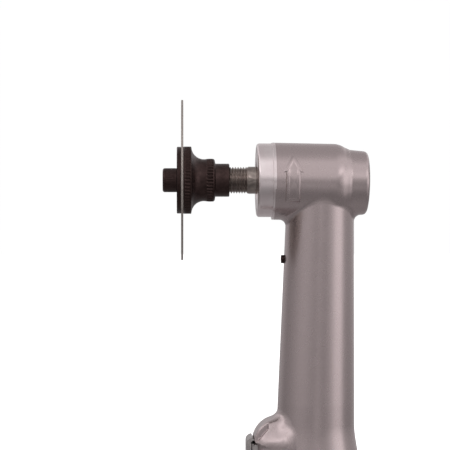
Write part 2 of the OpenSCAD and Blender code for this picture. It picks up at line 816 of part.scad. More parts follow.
module vanes()
    color("saddlebrown")
        vane_slots(vane_t - 0.06, vane_depth - 0.1, cylinder_z + 0.15, front_plate_z - 0.15, rotor_r - 0.02);

// ---------- Backhead and throttle ----------

module exhaust_holes(z0, z1)
    for (s = [-1, 1])
        translate([exhaust_at[0], s * exhaust_at[1], 0]) post(z0, z1, exhaust_r);

module backhead()
    color([0.6, 0.58, 0.58]) difference() {
        union() {
            translate([0, 0, backhead_z]) linear_extrude(backhead_h) handle_outline();
            post(backhead_top - 1, rear_plate_z, motor_r - motor_fit);
        }
        lever_channel(backhead_z - 1, backhead_top + 1);
        post(backhead_z - 1, bushing_top, bushing_thread_r);
        translate([5, 0, 0]) post(bushing_top - 1, valve_z, 3);
        on_valve() {
            post(plug_back - 5, seat_front, valve_r);
            post(seat_front - 1, guide_back, valve_r - 1.2);
            post(guide_back - 1, guide_front + 1, stem_r + run_fit);
            post(guide_back - 1, valve_ring_x + 0.8, stem_r + valve_ring_r + run_fit);
        }
        translate([-passage_x, 0, 0]) post(valve_z, rear_plate_z + 1, passage_r);
        across(-passage_x, regulator_z) {
            post(-4, handle_r, regulator_r + run_fit);
            post(regulator_face - 0.3, handle_r + 1, regulator_r + 0.9);
        }
        exhaust_holes(backhead_z - 1, rear_plate_z + 1);
        handle_screw_holes(backhead_z - 1, backhead_top + 1, handle_screw_r + 0.15);
        handle_screw_holes(backhead_z - 1, backhead_z + 4.2, handle_screw_r + 1.6);
    }

module backhead_gasket()
    color("darkgreen") difference() {
        translate([0, 0, backhead_top]) linear_extrude(gasket_t) handle_outline(0.15);
        post(backhead_top - 1, handle_z + 1, motor_r);
        lever_channel(backhead_top - 1, handle_z + 1);
        handle_screw_holes(backhead_top - 1, handle_z + 1, handle_screw_r + 0.15);
    }

module backhead_screws()
    color("dimgray") difference() {
        union() {
            handle_screw_holes(backhead_z + 4, handle_z + screw_hold - 1, handle_screw_r);
            handle_screw_holes(backhead_z + 0.4, backhead_z + 4.2, handle_screw_r + 1.5);
        }
        for (s = [-1, 1])
            translate([-handle_screw_x, s * handle_screw_y, 0])
                post(backhead_z, backhead_z + 2.4, handle_screw_r - 0.3, 6);
    }

module inlet_bushing()
    color("silver") difference() {
        union() {
            post(0, hex_h, hex_r, 6);
            post(hex_h - 1, backhead_z - washer_h, collar_r);
            post(backhead_z - washer_h - 1, bushing_top - 0.2, bushing_thread_r);
        }
        post(-1, inlet_depth, inlet_r);
        post(inlet_depth - 1, bushing_top + 1, inner_way_r);
    }

module inlet_washer()
    color("orange") ring(backhead_z - washer_h, backhead_z, collar_r + 0.2, bushing_thread_r);

// Conical gauze in a ring, pressed into the bushing.
module inlet_strainer()
    color("gold") rotate_extrude($fn = smooth) polygon([
        [inner_way_r, inlet_depth + 0.2], [inner_way_r, inlet_depth + 1.6],
        [inner_way_r - 0.5, inlet_depth + 1.6],
        [1, inlet_depth + 9], [0, inlet_depth + 9], [0, inlet_depth + 8.5], [0.7, inlet_depth + 8.5],
        [inner_way_r - 1, inlet_depth + 0.2]
    ]);

module muffler_felt()
    color("beige") ring(deflector_z + 1.8, backhead_z - washer_h - 0.1, deflector_r - 1.3, collar_r + 0.2);

module exhaust_deflector()
    color([0.2, 0.2, 0.2]) difference() {
        post(deflector_z, backhead_z - 0.2, deflector_r);
        post(deflector_z + 1.5, backhead_z, deflector_r - 1);
        post(deflector_z - 1, backhead_z, collar_r + run_fit);
        for (a = [-60:20:60])
            rotate(a) translate([deflector_r - 3, 0, deflector_z + 4.2]) rotate([0, 90, 0])
                cylinder(r = 1.2, h = 6, $fn = smooth);
    }

module valve_seat()
    color("gold") on_valve() ring(seat_front - seat_t, seat_front, valve_r, stem_r + 0.7);

module throttle_valve()
    color("silver") on_valve() difference() {
        union() {
            post(poppet_front, stem_tip - 0.6, stem_r);
            taper(stem_tip - 0.6, stem_tip, stem_r, stem_r - 0.6);
            post(spring_seat, poppet_front, poppet_r);
            post(spring_seat - 3, spring_seat, 1.4);
        }
        ring(valve_ring_x - 0.7, valve_ring_x + 0.7, stem_r + 1, stem_r - valve_ring_r);
    }

// Ring in the stem's groove, which slides in the wide part of the guide over the whole stroke.
module valve_o_ring()
    color("black") on_valve() translate([0, 0, valve_ring_x]) rotate_extrude($fn = smooth)
        translate([stem_r, 0]) circle(r = valve_ring_r, $fn = hull_fn);

// Open coil spring between the poppet and the plug.
function spring_point(t) =
    let (start = plug_front + spring_wire + 0.1, run = spring_seat - plug_front - 2 * spring_wire - 0.2)
    [spring_r * cos(360 * t), spring_r * sin(360 * t), start + run * t / spring_turns];

module valve_spring() {
    steps = 16 * spring_turns;
    sides = 8;
    function hoop(i) =
        let (t = i / 16, p = spring_point(t), out = [cos(360 * t), sin(360 * t), 0])
        [for (a = [0:360 / sides:359]) p + spring_wire * (cos(a) * out + [0, 0, sin(a)])];
    color("silver") on_valve() polyhedron(
        points = concat([for (i = [0:steps], p = hoop(i)) p], [spring_point(0), spring_point(spring_turns)]),
        faces = concat(
            [for (i = [0:steps - 1], k = [0:sides - 1])
                [i * sides + k, i * sides + (k + 1) % sides, (i + 1) * sides + (k + 1) % sides]],
            [for (i = [0:steps - 1], k = [0:sides - 1])
                [i * sides + k, (i + 1) * sides + (k + 1) % sides, (i + 1) * sides + k]],
            [for (k = [0:sides - 1]) [(steps + 1) * sides, (k + 1) % sides, k]],
            [for (k = [0:sides - 1])
                [(steps + 1) * sides + 1, steps * sides + k, steps * sides + (k + 1) % sides]]
        )
    );
}

module valve_plug()
    color("silver") on_valve() difference() {
        post(plug_back, plug_front, valve_r);
        post(plug_back - 1, plug_back + 2.5, 2, 6);
    }

module regulator_groove(r_out)
    ring(regulator_ring_y - 0.7, regulator_ring_y + 0.7, r_out, regulator_r - 2 * regulator_ring_r);

// Slotted plug across the air passage; its cross hole is in line with the passage at rest.
module speed_regulator()
    color("silver") across(-passage_x, regulator_z) difference() {
        union() {
            post(-3.9, regulator_face, regulator_r);
            post(regulator_face, regulator_face + 1.8, regulator_r + 0.6);
        }
        regulator_groove(regulator_r + 1);
        rotate([90, 0, 0]) cylinder(r = passage_r - 0.1, h = 10, center = true, $fn = smooth);
        translate([-5, -0.5, regulator_face + 0.8]) cube([10, 1, 2]);
    }

module regulator_o_ring()
    color("black") across(-passage_x, regulator_z) translate([0, 0, regulator_ring_y])
        rotate_extrude($fn = smooth) translate([regulator_r - regulator_ring_r, 0])
            circle(r = regulator_ring_r, $fn = hull_fn);

// ---------- Throttle lever ----------

module lever_pin()
    color("silver") across(-pivot_x, pivot_z) post(-lobe_half + 1.2, lobe_half - 1.2, pivot_r);

// Pressed-steel lever: a face plate with a rolled nose, and a cheek on each side around the pin.
module throttle_lever() {
    nose_r = 2.2;
    nose_z = shoulder_z - 0.4;
    tail_r = 4;
    function nose(a) = [-(lever_face - nose_r + nose_r * cos(a)), nose_z + (nose_r + 0.1) * sin(a)];
    function tail(a, r) = [-(lever_face + tail_r - r * cos(a)), lever_end_z - r * sin(a)];
    color("silver") difference() {
        union() {
            rotate([90, 0, 0]) linear_extrude(lever_w - 0.6, center = true) polygon(concat(
                [for (a = [0:15:75]) nose(a)],
                [[-lever_inner, shoulder_z + 1.4], [-lever_inner, lever_end_z]],
                [for (a = [0:15:60]) tail(a, tail_r + lever_t)],
                [for (a = [60:-15:0]) tail(a, tail_r)]
            ));
            for (s = [-1, 1])
                translate([0, s * (lever_cheek - flange_w / 2), 0]) rotate([90, 0, 0])
                    linear_extrude(flange_w, center = true) polygon([
                        [-lever_inner - 0.5, shoulder_z - 0.8], [-(pivot_x - 0.6), shoulder_z - 0.8],
                        [-(pocket_x + 1.1), pivot_z + 2.4], [-(pocket_x + 1.1), pivot_z - 2.4],
                        [-(channel_floor + 0.9), pivot_z - 9], [-(lever_inner - 0.7), valve_z + 4],
                        [-lever_inner - 0.5, valve_z + 4]
                    ]);
        }
        across(-pivot_x, pivot_z) post(-lever_w, lever_w, pivot_r + run_fit);
    }
}

main_housing();
front_bearing_cap();
spindle_seal();
front_bearing_outer();
rear_bearing_outer();
preload_washer();
pinion_cartridge();
upper_pinion_bearing_outer();
lower_pinion_bearing_outer();
cartridge_circlip();
cartridge_set_screw();
motor_cylinder();
motor_front_plate();
motor_rear_plate();
motor_front_bearing_outer();
motor_rear_bearing_outer();
cylinder_dowel();
backhead();
backhead_gasket();
backhead_screws();
inlet_bushing();
inlet_washer();
inlet_strainer();
muffler_felt();
valve_seat();
valve_spring();
valve_plug();
lever_pin();
spindle();
bevel_gear();
gear_key();
front_bearing_inner();
rear_bearing_inner();
spindle_circlip();
arbor_hub();
cutting_disc();
clamp_washer();
clamp_screw();
front_bearing_balls();
rear_bearing_balls();
upper_pinion_bearing_balls();
lower_pinion_bearing_balls();
motor_front_bearing_balls();
motor_rear_bearing_balls();
pinion_shaft();
pinion_spacer();
upper_pinion_bearing_inner();
lower_pinion_bearing_inner();
quill_shaft();
rotor();
vanes();
motor_front_bearing_inner();
motor_rear_bearing_inner();
throttle_lever();
throttle_valve();
valve_o_ring();
exhaust_deflector();
speed_regulator();
regulator_o_ring();
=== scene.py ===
import json
import math

import bmesh
import bpy
import numpy as np
from mathutils import Matrix, Vector


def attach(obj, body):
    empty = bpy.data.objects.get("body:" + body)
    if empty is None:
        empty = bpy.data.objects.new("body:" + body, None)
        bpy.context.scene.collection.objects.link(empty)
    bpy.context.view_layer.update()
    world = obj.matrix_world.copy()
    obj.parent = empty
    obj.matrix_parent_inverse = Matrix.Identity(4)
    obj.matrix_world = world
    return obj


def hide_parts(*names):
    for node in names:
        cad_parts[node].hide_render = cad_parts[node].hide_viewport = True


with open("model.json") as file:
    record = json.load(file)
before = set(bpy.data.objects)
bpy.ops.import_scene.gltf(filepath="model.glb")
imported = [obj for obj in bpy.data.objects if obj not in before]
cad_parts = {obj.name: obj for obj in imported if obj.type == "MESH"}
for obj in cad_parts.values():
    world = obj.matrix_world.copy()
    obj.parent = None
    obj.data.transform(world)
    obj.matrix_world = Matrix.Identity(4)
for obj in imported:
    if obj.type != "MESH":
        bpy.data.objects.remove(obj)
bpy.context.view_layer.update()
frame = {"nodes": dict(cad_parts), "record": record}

# ---------- Camera ----------
# A long lens, level with the neck and nearly in line with the disc, so that the disc is seen edge-on.
MM = 0.001
VIEW_DISTANCE = 557 * MM
VIEW_WIDTH = 168.75 * MM
CAMERA_AT = Vector((-51.5, -557, 188.2)) * MM
LOOKS_AT = Vector((-35.4, 0, 188.2)) * MM

camera_data = bpy.data.cameras.new("camera")
camera_data.sensor_width = 36
camera_data.lens = camera_data.sensor_width * VIEW_DISTANCE / VIEW_WIDTH
camera = bpy.data.objects.new("camera", camera_data)
camera.location = CAMERA_AT
camera.rotation_mode = "QUATERNION"
camera.rotation_quaternion = (LOOKS_AT - CAMERA_AT).to_track_quat("-Z", "Y")
bpy.context.scene.collection.objects.link(camera)
bpy.context.scene.camera = camera
bpy.context.scene.view_settings.view_transform = "Standard"


# ---------- Studio ----------
# A soft tent of light: a long overhead bank in front, a tall bank on the right, darker gaps between them,
# and a pale seamless floor that the tool stands on.
def linear(code):
    """The linear colour of an sRGB hex value, with alpha 1."""
    parts = [int(code[i:i + 2], 16) / 255 for i in (1, 3, 5)]
    return [c / 12.92 if c <= 0.04045 else ((c + 0.055) / 1.055) ** 2.4 for c in parts] + [1]


def add(tree, kind, inputs=None, stops=(), **settings):
    """A node with its settings; an input takes a value, or another node's output as its link. stops are
    the (position, colour) points of a colour ramp."""
    made = tree.nodes.new(kind)
    for name, value in settings.items():
        setattr(made, name, value)
    for name, value in (inputs or {}).items():
        if isinstance(value, bpy.types.NodeSocket):
            tree.links.new(value, made.inputs[name])
        else:
            made.inputs[name].default_value = value
    points = made.color_ramp.elements if stops else ()
    while len(points) < len(stops):
        points.new(0.5)
    for point, (position, colour) in zip(points, stops):
        point.position = position
        point.color = colour
    return made


# Brightness of the tent by angle, in degrees. Round the neck, 0 is the camera's side and 90 the right.
ROUND_LIGHT = [
    (-180, 0.42), (-150, 0.56), (-132, 0.48), (-118, 0.35), (-95, 0.41), (-75, 0.52), (-58, 0.62),
    (-38, 0.60), (-15, 0.42), (5, 0.38), (20, 0.42), (38, 0.68), (52, 1.22), (70, 1.34), (77, 1.08),
    (84, 0.56), (95, 0.46), (120, 0.46), (150, 0.62), (180, 0.42)
]
# Over the head, 0 is the camera's side and 90 is straight up.
RISING_LIGHT = [
    (-180, 0.45), (-150, 0.38), (-118, 0.32), (-96, 0.31), (-78, 0.33), (-56, 0.28), (-42, 0.23),
    (-34, 0.22), (-24, 0.29), (-14, 0.46), (-6, 0.68), (0, 0.80), (8, 0.88), (20, 0.86), (34, 0.84),
    (46, 0.88), (56, 0.92), (64, 0.70), (76, 0.54), (90, 0.50), (130, 0.48), (150, 0.64), (165, 0.56),
    (180, 0.45)
]
LIGHT_TINT = (1.0, 0.965, 0.975)

world = bpy.data.worlds.new("light_tent")
bpy.context.scene.world = world
world.use_nodes = True
tent = world.node_tree
tent.nodes.clear()
way = add(tent, "ShaderNodeSeparateXYZ", {"Vector": add(tent, "ShaderNodeTexCoord").outputs["Generated"]})
towards = add(tent, "ShaderNodeMath", {0: way.outputs["Y"], 1: -1.0}, operation="MULTIPLY").outputs[0]
sideways = add(tent, "ShaderNodeMath", {0: way.outputs["X"]}, operation="ABSOLUTE").outputs[0]
spread = add(tent, "ShaderNodeMath", {0: sideways, 1: 0.9, 2: towards}, operation="MULTIPLY_ADD").outputs[0]


def by_angle(side, ahead, table):
    """The tent's colour by the angle between the camera's side and another direction."""
    angle = add(tent, "ShaderNodeMath", {0: side, 1: ahead}, operation="ARCTAN2").outputs[0]
    turn = add(tent, "ShaderNodeMapRange", {"Value": angle, "From Min": -math.pi, "From Max": math.pi})
    return add(tent, "ShaderNodeValToRGB", {"Fac": turn.outputs[0]}, stops=[
        ((a + 180) / 360, [v * t for t in LIGHT_TINT] + [1]) for a, v in table]).outputs["Color"]


# The tall bank fades towards the floor, and the overhead bank takes over above and below eye level.
fading = add(tent, "ShaderNodeMapRange", {
    "Value": way.outputs["Z"], "From Min": -0.2, "From Max": 0.0, "To Min": 0.52, "To Max": 1.0}).outputs[0]
around = add(tent, "ShaderNodeVectorMath", {
    0: by_angle(way.outputs["X"], towards, ROUND_LIGHT), "Scale": fading}, operation="SCALE").outputs[0]
height = add(tent, "ShaderNodeMath", {0: way.outputs["Z"]}, operation="ABSOLUTE").outputs[0]
raised = add(tent, "ShaderNodeMath", {0: sideways, 1: -0.5, 2: height}, operation="MULTIPLY_ADD").outputs[0]
steep = add(tent, "ShaderNodeMapRange", {
    "Value": raised, "From Min": 0.0, "From Max": 0.16}, interpolation_type="SMOOTHSTEP").outputs[0]
# The overhead bank has a stronger lamp at each end, and the one on the right is narrower.
lamps = add(tent, "ShaderNodeMapRange", {
    "Value": sideways, "From Min": 0.2, "From Max": 0.6, "To Max": 1.2},
    interpolation_type="SMOOTHSTEP").outputs[0]
for along, outer, inner in (("Z", 0.0, 0.2), ("Z", 0.75, 0.4), ("X", 0.84, 0.6)):
    edge = add(tent, "ShaderNodeMapRange", {
        "Value": way.outputs[along], "From Min": outer, "From Max": inner}, interpolation_type="SMOOTHSTEP")
    lamps = add(tent, "ShaderNodeMath", {0: lamps, 1: edge.outputs[0]}, operation="MULTIPLY").outputs[0]
lamps = add(tent, "ShaderNodeMath", {0: lamps, 1: 1.0}, operation="ADD").outputs[0]
overhead = add(tent, "ShaderNodeVectorMath", {
    0: by_angle(way.outputs["Z"], spread, RISING_LIGHT), "Scale": lamps}, operation="SCALE").outputs[0]
blended = add(tent, "ShaderNodeMixRGB", {"Fac": steep, "Color1": around, "Color2": overhead})
glow = add(tent, "ShaderNodeBackground", {"Color": blended.outputs[0], "Strength": 1.0})
add(tent, "ShaderNodeOutputWorld", {"Surface": glow.outputs[0]})


def stage_piece(name, verts, faces, material):
    """A piece of the set, which the tool doesn't mirror."""
    mesh = bpy.data.meshes.new(name)
    mesh.from_pydata(verts, [], faces)
    mesh.materials.append(material)
    made = bpy.data.objects.new(name, mesh)
    bpy.context.scene.collection.objects.link(made)
    made.visible_glossy = made.visible_diffuse = made.visible_shadow = False


def surface(name, colour, metallic, roughness, **sockets):
    """A material with one Principled node. sockets are uniform values by name; a hex code is a colour."""
    made = bpy.data.materials.new(name)
    made.use_nodes = True
    shader = made.node_tree.nodes["Principled BSDF"]
    shader.inputs["Base Color"].default_value = linear(colour)
    shader.inputs["Metallic"].default_value = metallic
    shader.inputs["Roughness"].default_value = roughness
    for socket, value in sockets.items():
        value = linear(value) if isinstance(value, str) else value
        shader.inputs[socket.replace("_", " ")].default_value = value
    return made


# Matt white paper for the floor, lit a little from below so that it doesn't turn grey, and a white dome.
STAGE_R, DOME_SIDES = 9.0, 48
paper = surface("matt_white_paper_sweep", "#F2F1F0", 0, 0.9, Emission_Color="#FFFFFF",
                Emission_Strength=0.72)
stage_piece("floor", [(x * STAGE_R, y * STAGE_R, 0) for x, y in ((-1, -1), (1, -1), (1, 1), (-1, 1))],
            [(0, 1, 2, 3)], paper)

white = surface("white_backdrop", "#000000", 0, 1, Emission_Color="#FFFFFF", Emission_Strength=1.0)
ring = [2 * math.pi * i / DOME_SIDES for i in range(DOME_SIDES)]
dome_verts = [(STAGE_R * math.cos(a), STAGE_R * math.sin(a), z) for z in (-0.5, STAGE_R) for a in ring]
dome_faces = [(i, (i + 1) % DOME_SIDES, DOME_SIDES + (i + 1) % DOME_SIDES, DOME_SIDES + i)
              for i in range(DOME_SIDES)] + [tuple(range(DOME_SIDES, 2 * DOME_SIDES))]
stage_piece("backdrop", dome_verts, dome_faces, white)

# ---------- Main housing ----------
# One aluminium casting: the head's barrel and rear bearing boss, the tapered neck, the swollen shoulder
# and the handle round the motor. Cast, bored from four sides, and sprayed with satin silver paint.
HEAD_Z, HEAD_R = 205.0, 14.45
SEAM, LIP = 17.9, 0.3
DROP, DROOP = 0.35, math.radians(1.1)
BARREL_REAR, CONE_REAR, BOSS_REAR = -7.0, -10.5, -18.7
BOSS_R, BOSS_END_R, CROWN_R = 12.4, 11.75, 70
# The neck's front, rear and half width at its top and foot, and the flare that widens it to the handle.
NECK_TOP, NECK_FOOT = 201.0, 121.5
NECK_FRONT, NECK_REAR, NECK_HALF = (12.1, 15.6), (13.0, 13.1), (12.7, 14.1)
FLARE_TOP, FLARE_LENGTH = 114, 20
HANDLE_R, HANDLE_Z = 15.5, 40.6
# The lobe towards the lever, its sloping crest, and how far its side draws in under the neck.
LOBE_FRONT, LOBE_CORNER, LOBE_HALF, LOBE_ROUND = 23.5, 4.0, 9.5, 9.0
CREST_X, CREST_Z, CREST_SLOPE, CREST_RISE = -14.6, 112.6, 0.33, 5.2
BEVEL_HALF, BEVEL_SLOPE, BEVEL_ROUND = 8.4, 0.9, 2.4
DRAW_IN, DRAW_IN_X, DRAW_IN_LENGTH, DRAW_IN_Z, DRAW_IN_HEIGHT = 6.5, -14, 9, 96, 10
# The domed nose over the lever's pin, with two milled flats, and the channel that the lever sinks into.
DOME_X, DOME_Z, DOME_R, DOME_HALF, DOME_ROUND, DOME_DEPTH = 15.3, 106.6, 9.65, 8.2, 3, 4
FLAT_X, FLAT_FOOT, FLAT_BASE = 19.6, (19.6, 112.6), 108.1
CHANNEL_HALF, CHANNEL_FLOOR, CHANNEL_TOP = 6.5, 20.5, 107.7
POCKET_FLOOR, POCKET_Z = 17.8, 92.5
# Bores from start to end, and their radius: through the head for the spindle, and up the handle and neck.
HEAD_BORES = [(13.9, 30, 12.4), (7.9, 30, 11), (-8.3, 30, 10.75), (-17.3, 0, 9.5)]
NECK_BORES = [(192, HEAD_Z, 8), (159.5, 192.3, 9.5), (97.4, 159.5, 9.9), (0, 97.5, 13)]
PIVOT, PIVOT_R = (20.8, 101.0), 1.25
SCREW_X, SCREW_Y, SCREW_R, SCREW_TOP = 16.2, 6.3, 2, 60.6
SET_Z, SET_R = 175.4, 1.6


def length2(a, b):
    """The length of a line with sides a and b."""
    return np.sqrt(a * a + b * b)


def join(a, b, r):
    """Union of two solids with a fillet of radius r."""
    return np.maximum(r, np.minimum(a, b)) - length2(np.maximum(r - a, 0), np.maximum(r - b, 0))


def cut(a, b, r):
    """What is left of a when b is cut away, its new edges rounded to r."""
    return -join(-a, b, r)


def meet(a, b, r):
    """What two solids share, its new edges rounded to r."""
    return -join(-a, -b, r)


def rod(along, across, start, end, r):
    """A cylinder from start to end along one coordinate; across is the distance from its axis."""
    return np.maximum(across - r, np.maximum(start - along, along - end))


def capsule(px, py, r1, r2, h):
    """The outline round two circles, r1 at the origin and r2 at (0, h)."""
    px = np.abs(px)
    b = (r1 - r2) / h
    a = math.sqrt(1 - b * b)
    k = py * a - px * b
    return np.where(k < 0, length2(px, py) - r1,
                    np.where(k > a * h, length2(px, py - h) - r2, px * a + py * b - r1))


def handle_outline(x, y):
    """Signed distance to the handle's section: a round with a squarer lobe towards the lever."""
    lobe_x, lobe_y = LOBE_FRONT - LOBE_CORNER, LOBE_HALF - LOBE_CORNER
    far = math.hypot(lobe_x, lobe_y)
    sides = []
    for s in (-1, 1):
        along = (-x * lobe_x + y * s * lobe_y) / far
        across = (-x * s * lobe_y - y * lobe_x) / far
        sides.append(capsule(across, along, HANDLE_R, LOBE_CORNER, far))
    between = capsule(x + lobe_x, y + lobe_y, LOBE_CORNER, LOBE_CORNER - 0.001, 2 * lobe_y)
    return np.minimum(np.minimum(*sides), between)


def ease(t):
    """A smooth step from 0 to 1 as t goes from 0 to 1."""
    t = np.clip(t, 0, 1)
    return t * t * (3 - 2 * t)


def head_shape(x, y, z):
    """Barrel, cone and bearing boss, dropped a little and tilted down to the rear about the seam."""
    above = z - HEAD_Z + DROP
    f = -(x + SEAM) * math.cos(DROOP) + above * math.sin(DROOP) + SEAM
    up = above * math.cos(DROOP) + (x + SEAM) * math.sin(DROOP)
    r = length2(up, y)
    slope = math.atan2(HEAD_R - BOSS_R, BARREL_REAR - CONE_REAR)
    cone = (r - HEAD_R) * math.cos(slope) - (f - BARREL_REAR) * math.sin(slope)
    barrel = meet(np.maximum(r - HEAD_R, CONE_REAR - 0.5 - f), cone, 0.9)
    lean = math.atan2(BOSS_R - BOSS_END_R, CONE_REAR - BOSS_REAR)
    side = (r - BOSS_R) * math.cos(lean) - (f - CONE_REAR) * math.sin(lean)
    crown = length2(f - BOSS_REAR - CROWN_R, r) - CROWN_R
    boss = np.maximum(meet(side, crown, 1.2), f)
    return np.maximum(join(barrel, boss, 0.9), -x - (SEAM - LIP))


def neck_shape(x, y, z):
    """An oval taper that flares into the handle."""
    down = (NECK_TOP - z) / (NECK_TOP - NECK_FOOT)
    to_foot = np.minimum(down, 1)
    flare = ease((FLARE_TOP - z) / FLARE_LENGTH)
    front = NECK_FRONT[0] + (NECK_FRONT[1] - NECK_FRONT[0]) * down
    rear = NECK_REAR[0] + (NECK_REAR[1] - NECK_REAR[0]) * to_foot + (HANDLE_R - NECK_REAR[1]) * flare
    half = NECK_HALF[0] + (NECK_HALF[1] - NECK_HALF[0]) * to_foot + (HANDLE_R - NECK_HALF[1]) * flare
    wide = (front + rear) / 2
    px = x - (rear - front) / 2
    # A close estimate of the distance to an ellipse.
    k1 = length2(px / wide, y / half)
    k2 = length2(px / wide ** 2, y / half ** 2) + 1e-6
    return np.maximum(k1 * (k1 - 1) / k2, np.maximum(z - HEAD_Z, FLARE_TOP - FLARE_LENGTH - z))


def shoulder_shape(x, y, z):
    """The top of the handle: a lobe that slopes up to the neck, and the domed nose with its milled flats."""
    away = ease((x - DRAW_IN_X) / DRAW_IN_LENGTH) * ease((z - DRAW_IN_Z) / DRAW_IN_HEIGHT)
    side = handle_outline(x, y) + DRAW_IN * away + LOBE_ROUND
    crest = z - CREST_Z - CREST_SLOPE * (x - CREST_X)
    top = crest + LOBE_ROUND - CREST_RISE
    body = np.minimum(np.maximum(side, top), 0) - LOBE_ROUND
    body = body + length2(np.maximum(side, 0), np.maximum(top, 0))
    # 0.743 makes the sloping bevel's height over the crest a distance.
    bevel = (crest + (np.abs(y) - BEVEL_HALF) * BEVEL_SLOPE) * 0.743
    body = np.maximum(meet(body, bevel, BEVEL_ROUND), HANDLE_Z - z)
    nose = length2(x + DOME_X, z - DOME_Z) - DOME_R
    nose = meet(nose, np.abs(y) - DOME_HALF, DOME_ROUND)
    nose = np.maximum(nose, np.maximum(CHANNEL_TOP - z, x + DOME_X - DOME_DEPTH))
    # The upper flat leans back from the foot of the upright one.
    diagonal = (x + FLAT_FOOT[0]) * 0.772 - (z - FLAT_FOOT[1]) * 0.635
    beside = np.maximum(CHANNEL_HALF - np.abs(y), FLAT_BASE - z)
    milled = np.maximum(np.maximum(x + FLAT_X, diagonal), beside)
    return cut(join(body, nose, 2.4), milled, 0.3)


def casting(x, y, z):
    """Signed distance, in mm, to the whole housing."""
    # The fillet between neck and shoulder fades out where the two become one surface.
    outside = join(neck_shape(x, y, z), shoulder_shape(x, y, z), 0.05 + 3.1 * ease((z - 100) / 7))
    # The fillet under the head is wide below the barrel's middle and tight along its sides.
    fillet = 0.7 + 1.7 * ease((10 - np.abs(y)) / 5)
    outside = join(outside, head_shape(x, y, z), fillet)
    ring, round_z = length2(y, z - HEAD_Z), length2(x, y)
    bores = [rod(-x, ring, *b) for b in HEAD_BORES] + [rod(z, round_z, *b) for b in NECK_BORES]
    channel = np.maximum(np.maximum(x + CHANNEL_FLOOR, np.abs(y) - CHANNEL_HALF), z - CHANNEL_TOP)
    pocket = np.maximum(np.maximum(x + POCKET_FLOOR, np.abs(y) - CHANNEL_HALF),
                        np.maximum(z - CHANNEL_TOP, POCKET_Z - z))
    pin = length2(x + PIVOT[0], z - PIVOT[1]) - PIVOT_R
    screws = np.maximum(length2(x + SCREW_X, np.abs(y) - SCREW_Y) - SCREW_R, z - SCREW_TOP)
    set_hole = np.maximum(length2(y, z - SET_Z) - SET_R, np.abs(x + 12) - 4)
    made = cut(outside, np.minimum(channel, pocket), 0.45)
    made = cut(made, np.minimum.reduce(bores), 0.3)
    for hole in (pin, screws, set_hole):
        made = cut(made, hole, 0.25)
    return made


def gradient(field, p, step=0.05):
    """The field's direction of steepest rise at each point."""
    out = np.empty_like(p)
    for i in range(3):
        d = np.zeros(3)
        d[i] = step
        a, b = p + d, p - d
        out[:, i] = field(*a.T) - field(*b.T)
    return out / np.maximum(np.linalg.norm(out, axis=1, keepdims=True), 1e-9)


def skin(field, low, high, step):
    """Quads over the field's zero surface within a box: one point a crossed cell, then evened out and drawn
    onto the surface. Gives points, quads and normals."""
    axes = [np.arange(a, b + step, step) for a, b in zip(low, high)]
    grid = np.meshgrid(*axes, indexing="ij")
    d = field(*grid)
    inside = d < 0
    cells = [n - 1 for n in d.shape]
    total = np.zeros([n + 2 for n in cells] + [3])
    count = np.zeros([n + 2 for n in cells])
    crossed = []
    for a in range(3):
        b, c = [i for i in range(3) if i != a]
        lower = [slice(None)] * 3
        upper = [slice(None)] * 3
        lower[a], upper[a] = slice(0, -1), slice(1, None)
        d0, d1 = d[tuple(lower)], d[tuple(upper)]
        hit = np.argwhere((d0 < 0) != (d1 < 0))
        crossed.append(hit)
        at = tuple(hit.T)
        t = d0[at] / (d0[at] - d1[at])
        p = np.stack([axes[i][hit[:, i]] for i in range(3)], axis=1)
        p[:, a] += t * step
        for sb in (0, 1):
            for sc in (0, 1):
                cell = hit + 1
                cell[:, b] -= sb
                cell[:, c] -= sc
                where = tuple(cell.T)
                np.add.at(total, where, p)
                np.add.at(count, where, 1)
    used = count > 0
    points = total[used] / count[used][:, None]
    number = np.full(count.shape, -1)
    number[used] = np.arange(len(points))
    quads = []
    for a, hit in enumerate(crossed):
        b, c = (a + 1) % 3, (a + 2) % 3
        corner = []
        for sb, sc in ((0, 0), (1, 0), (1, 1), (0, 1)):
            cell = hit + 1
            cell[:, b] -= sb
            cell[:, c] -= sc
            corner.append(number[tuple(cell.T)])
        quad = np.stack(corner, axis=1)
        rising = inside[tuple(hit.T)]
        quad[~rising] = quad[~rising][:, ::-1]
        quads.append(quad)
    quads = np.concatenate(quads)
    # Each pass draws the points onto the surface; two of them first even out the spacing.
    for turn in range(7):
        if turn in (2, 4):
            around = np.zeros_like(points)
            share = np.zeros(len(points))
            for i in range(4):
                np.add.at(around, quads[:, i], points[quads[:, (i + 1) % 4]] + points[quads[:, (i + 3) % 4]])
                np.add.at(share, quads[:, i], 2)
            points = 0.5 * points + 0.5 * around / share[:, None]
        g = gradient(field, points)
        points = points - np.clip(field(*points.T), -step, step)[:, None] * g
    return points, quads, gradient(field, points)


def piece(name, verts, faces, material, body, slot, replaces=(), smooth=35, normals=None):
    """A mesh in mm made into a piece that rides on a body; edges sharper than smooth degrees stay crisp."""
    mesh = bpy.data.meshes.new(name)
    mesh.from_pydata(np.asarray(verts) * MM, [], faces if isinstance(faces, list) else faces.tolist())
    mesh.validate()
    mesh.materials.append(material)
    mesh.shade_smooth()
    if normals is None:
        mesh.set_sharp_from_angle(angle=math.radians(smooth))
    else:
        mesh.normals_split_custom_set_from_vertices(normals)
    made = bpy.data.objects.new(name, mesh)
    bpy.context.scene.collection.objects.link(made)
    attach(made, body)
    if replaces:
        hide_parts(*replaces)
    return made


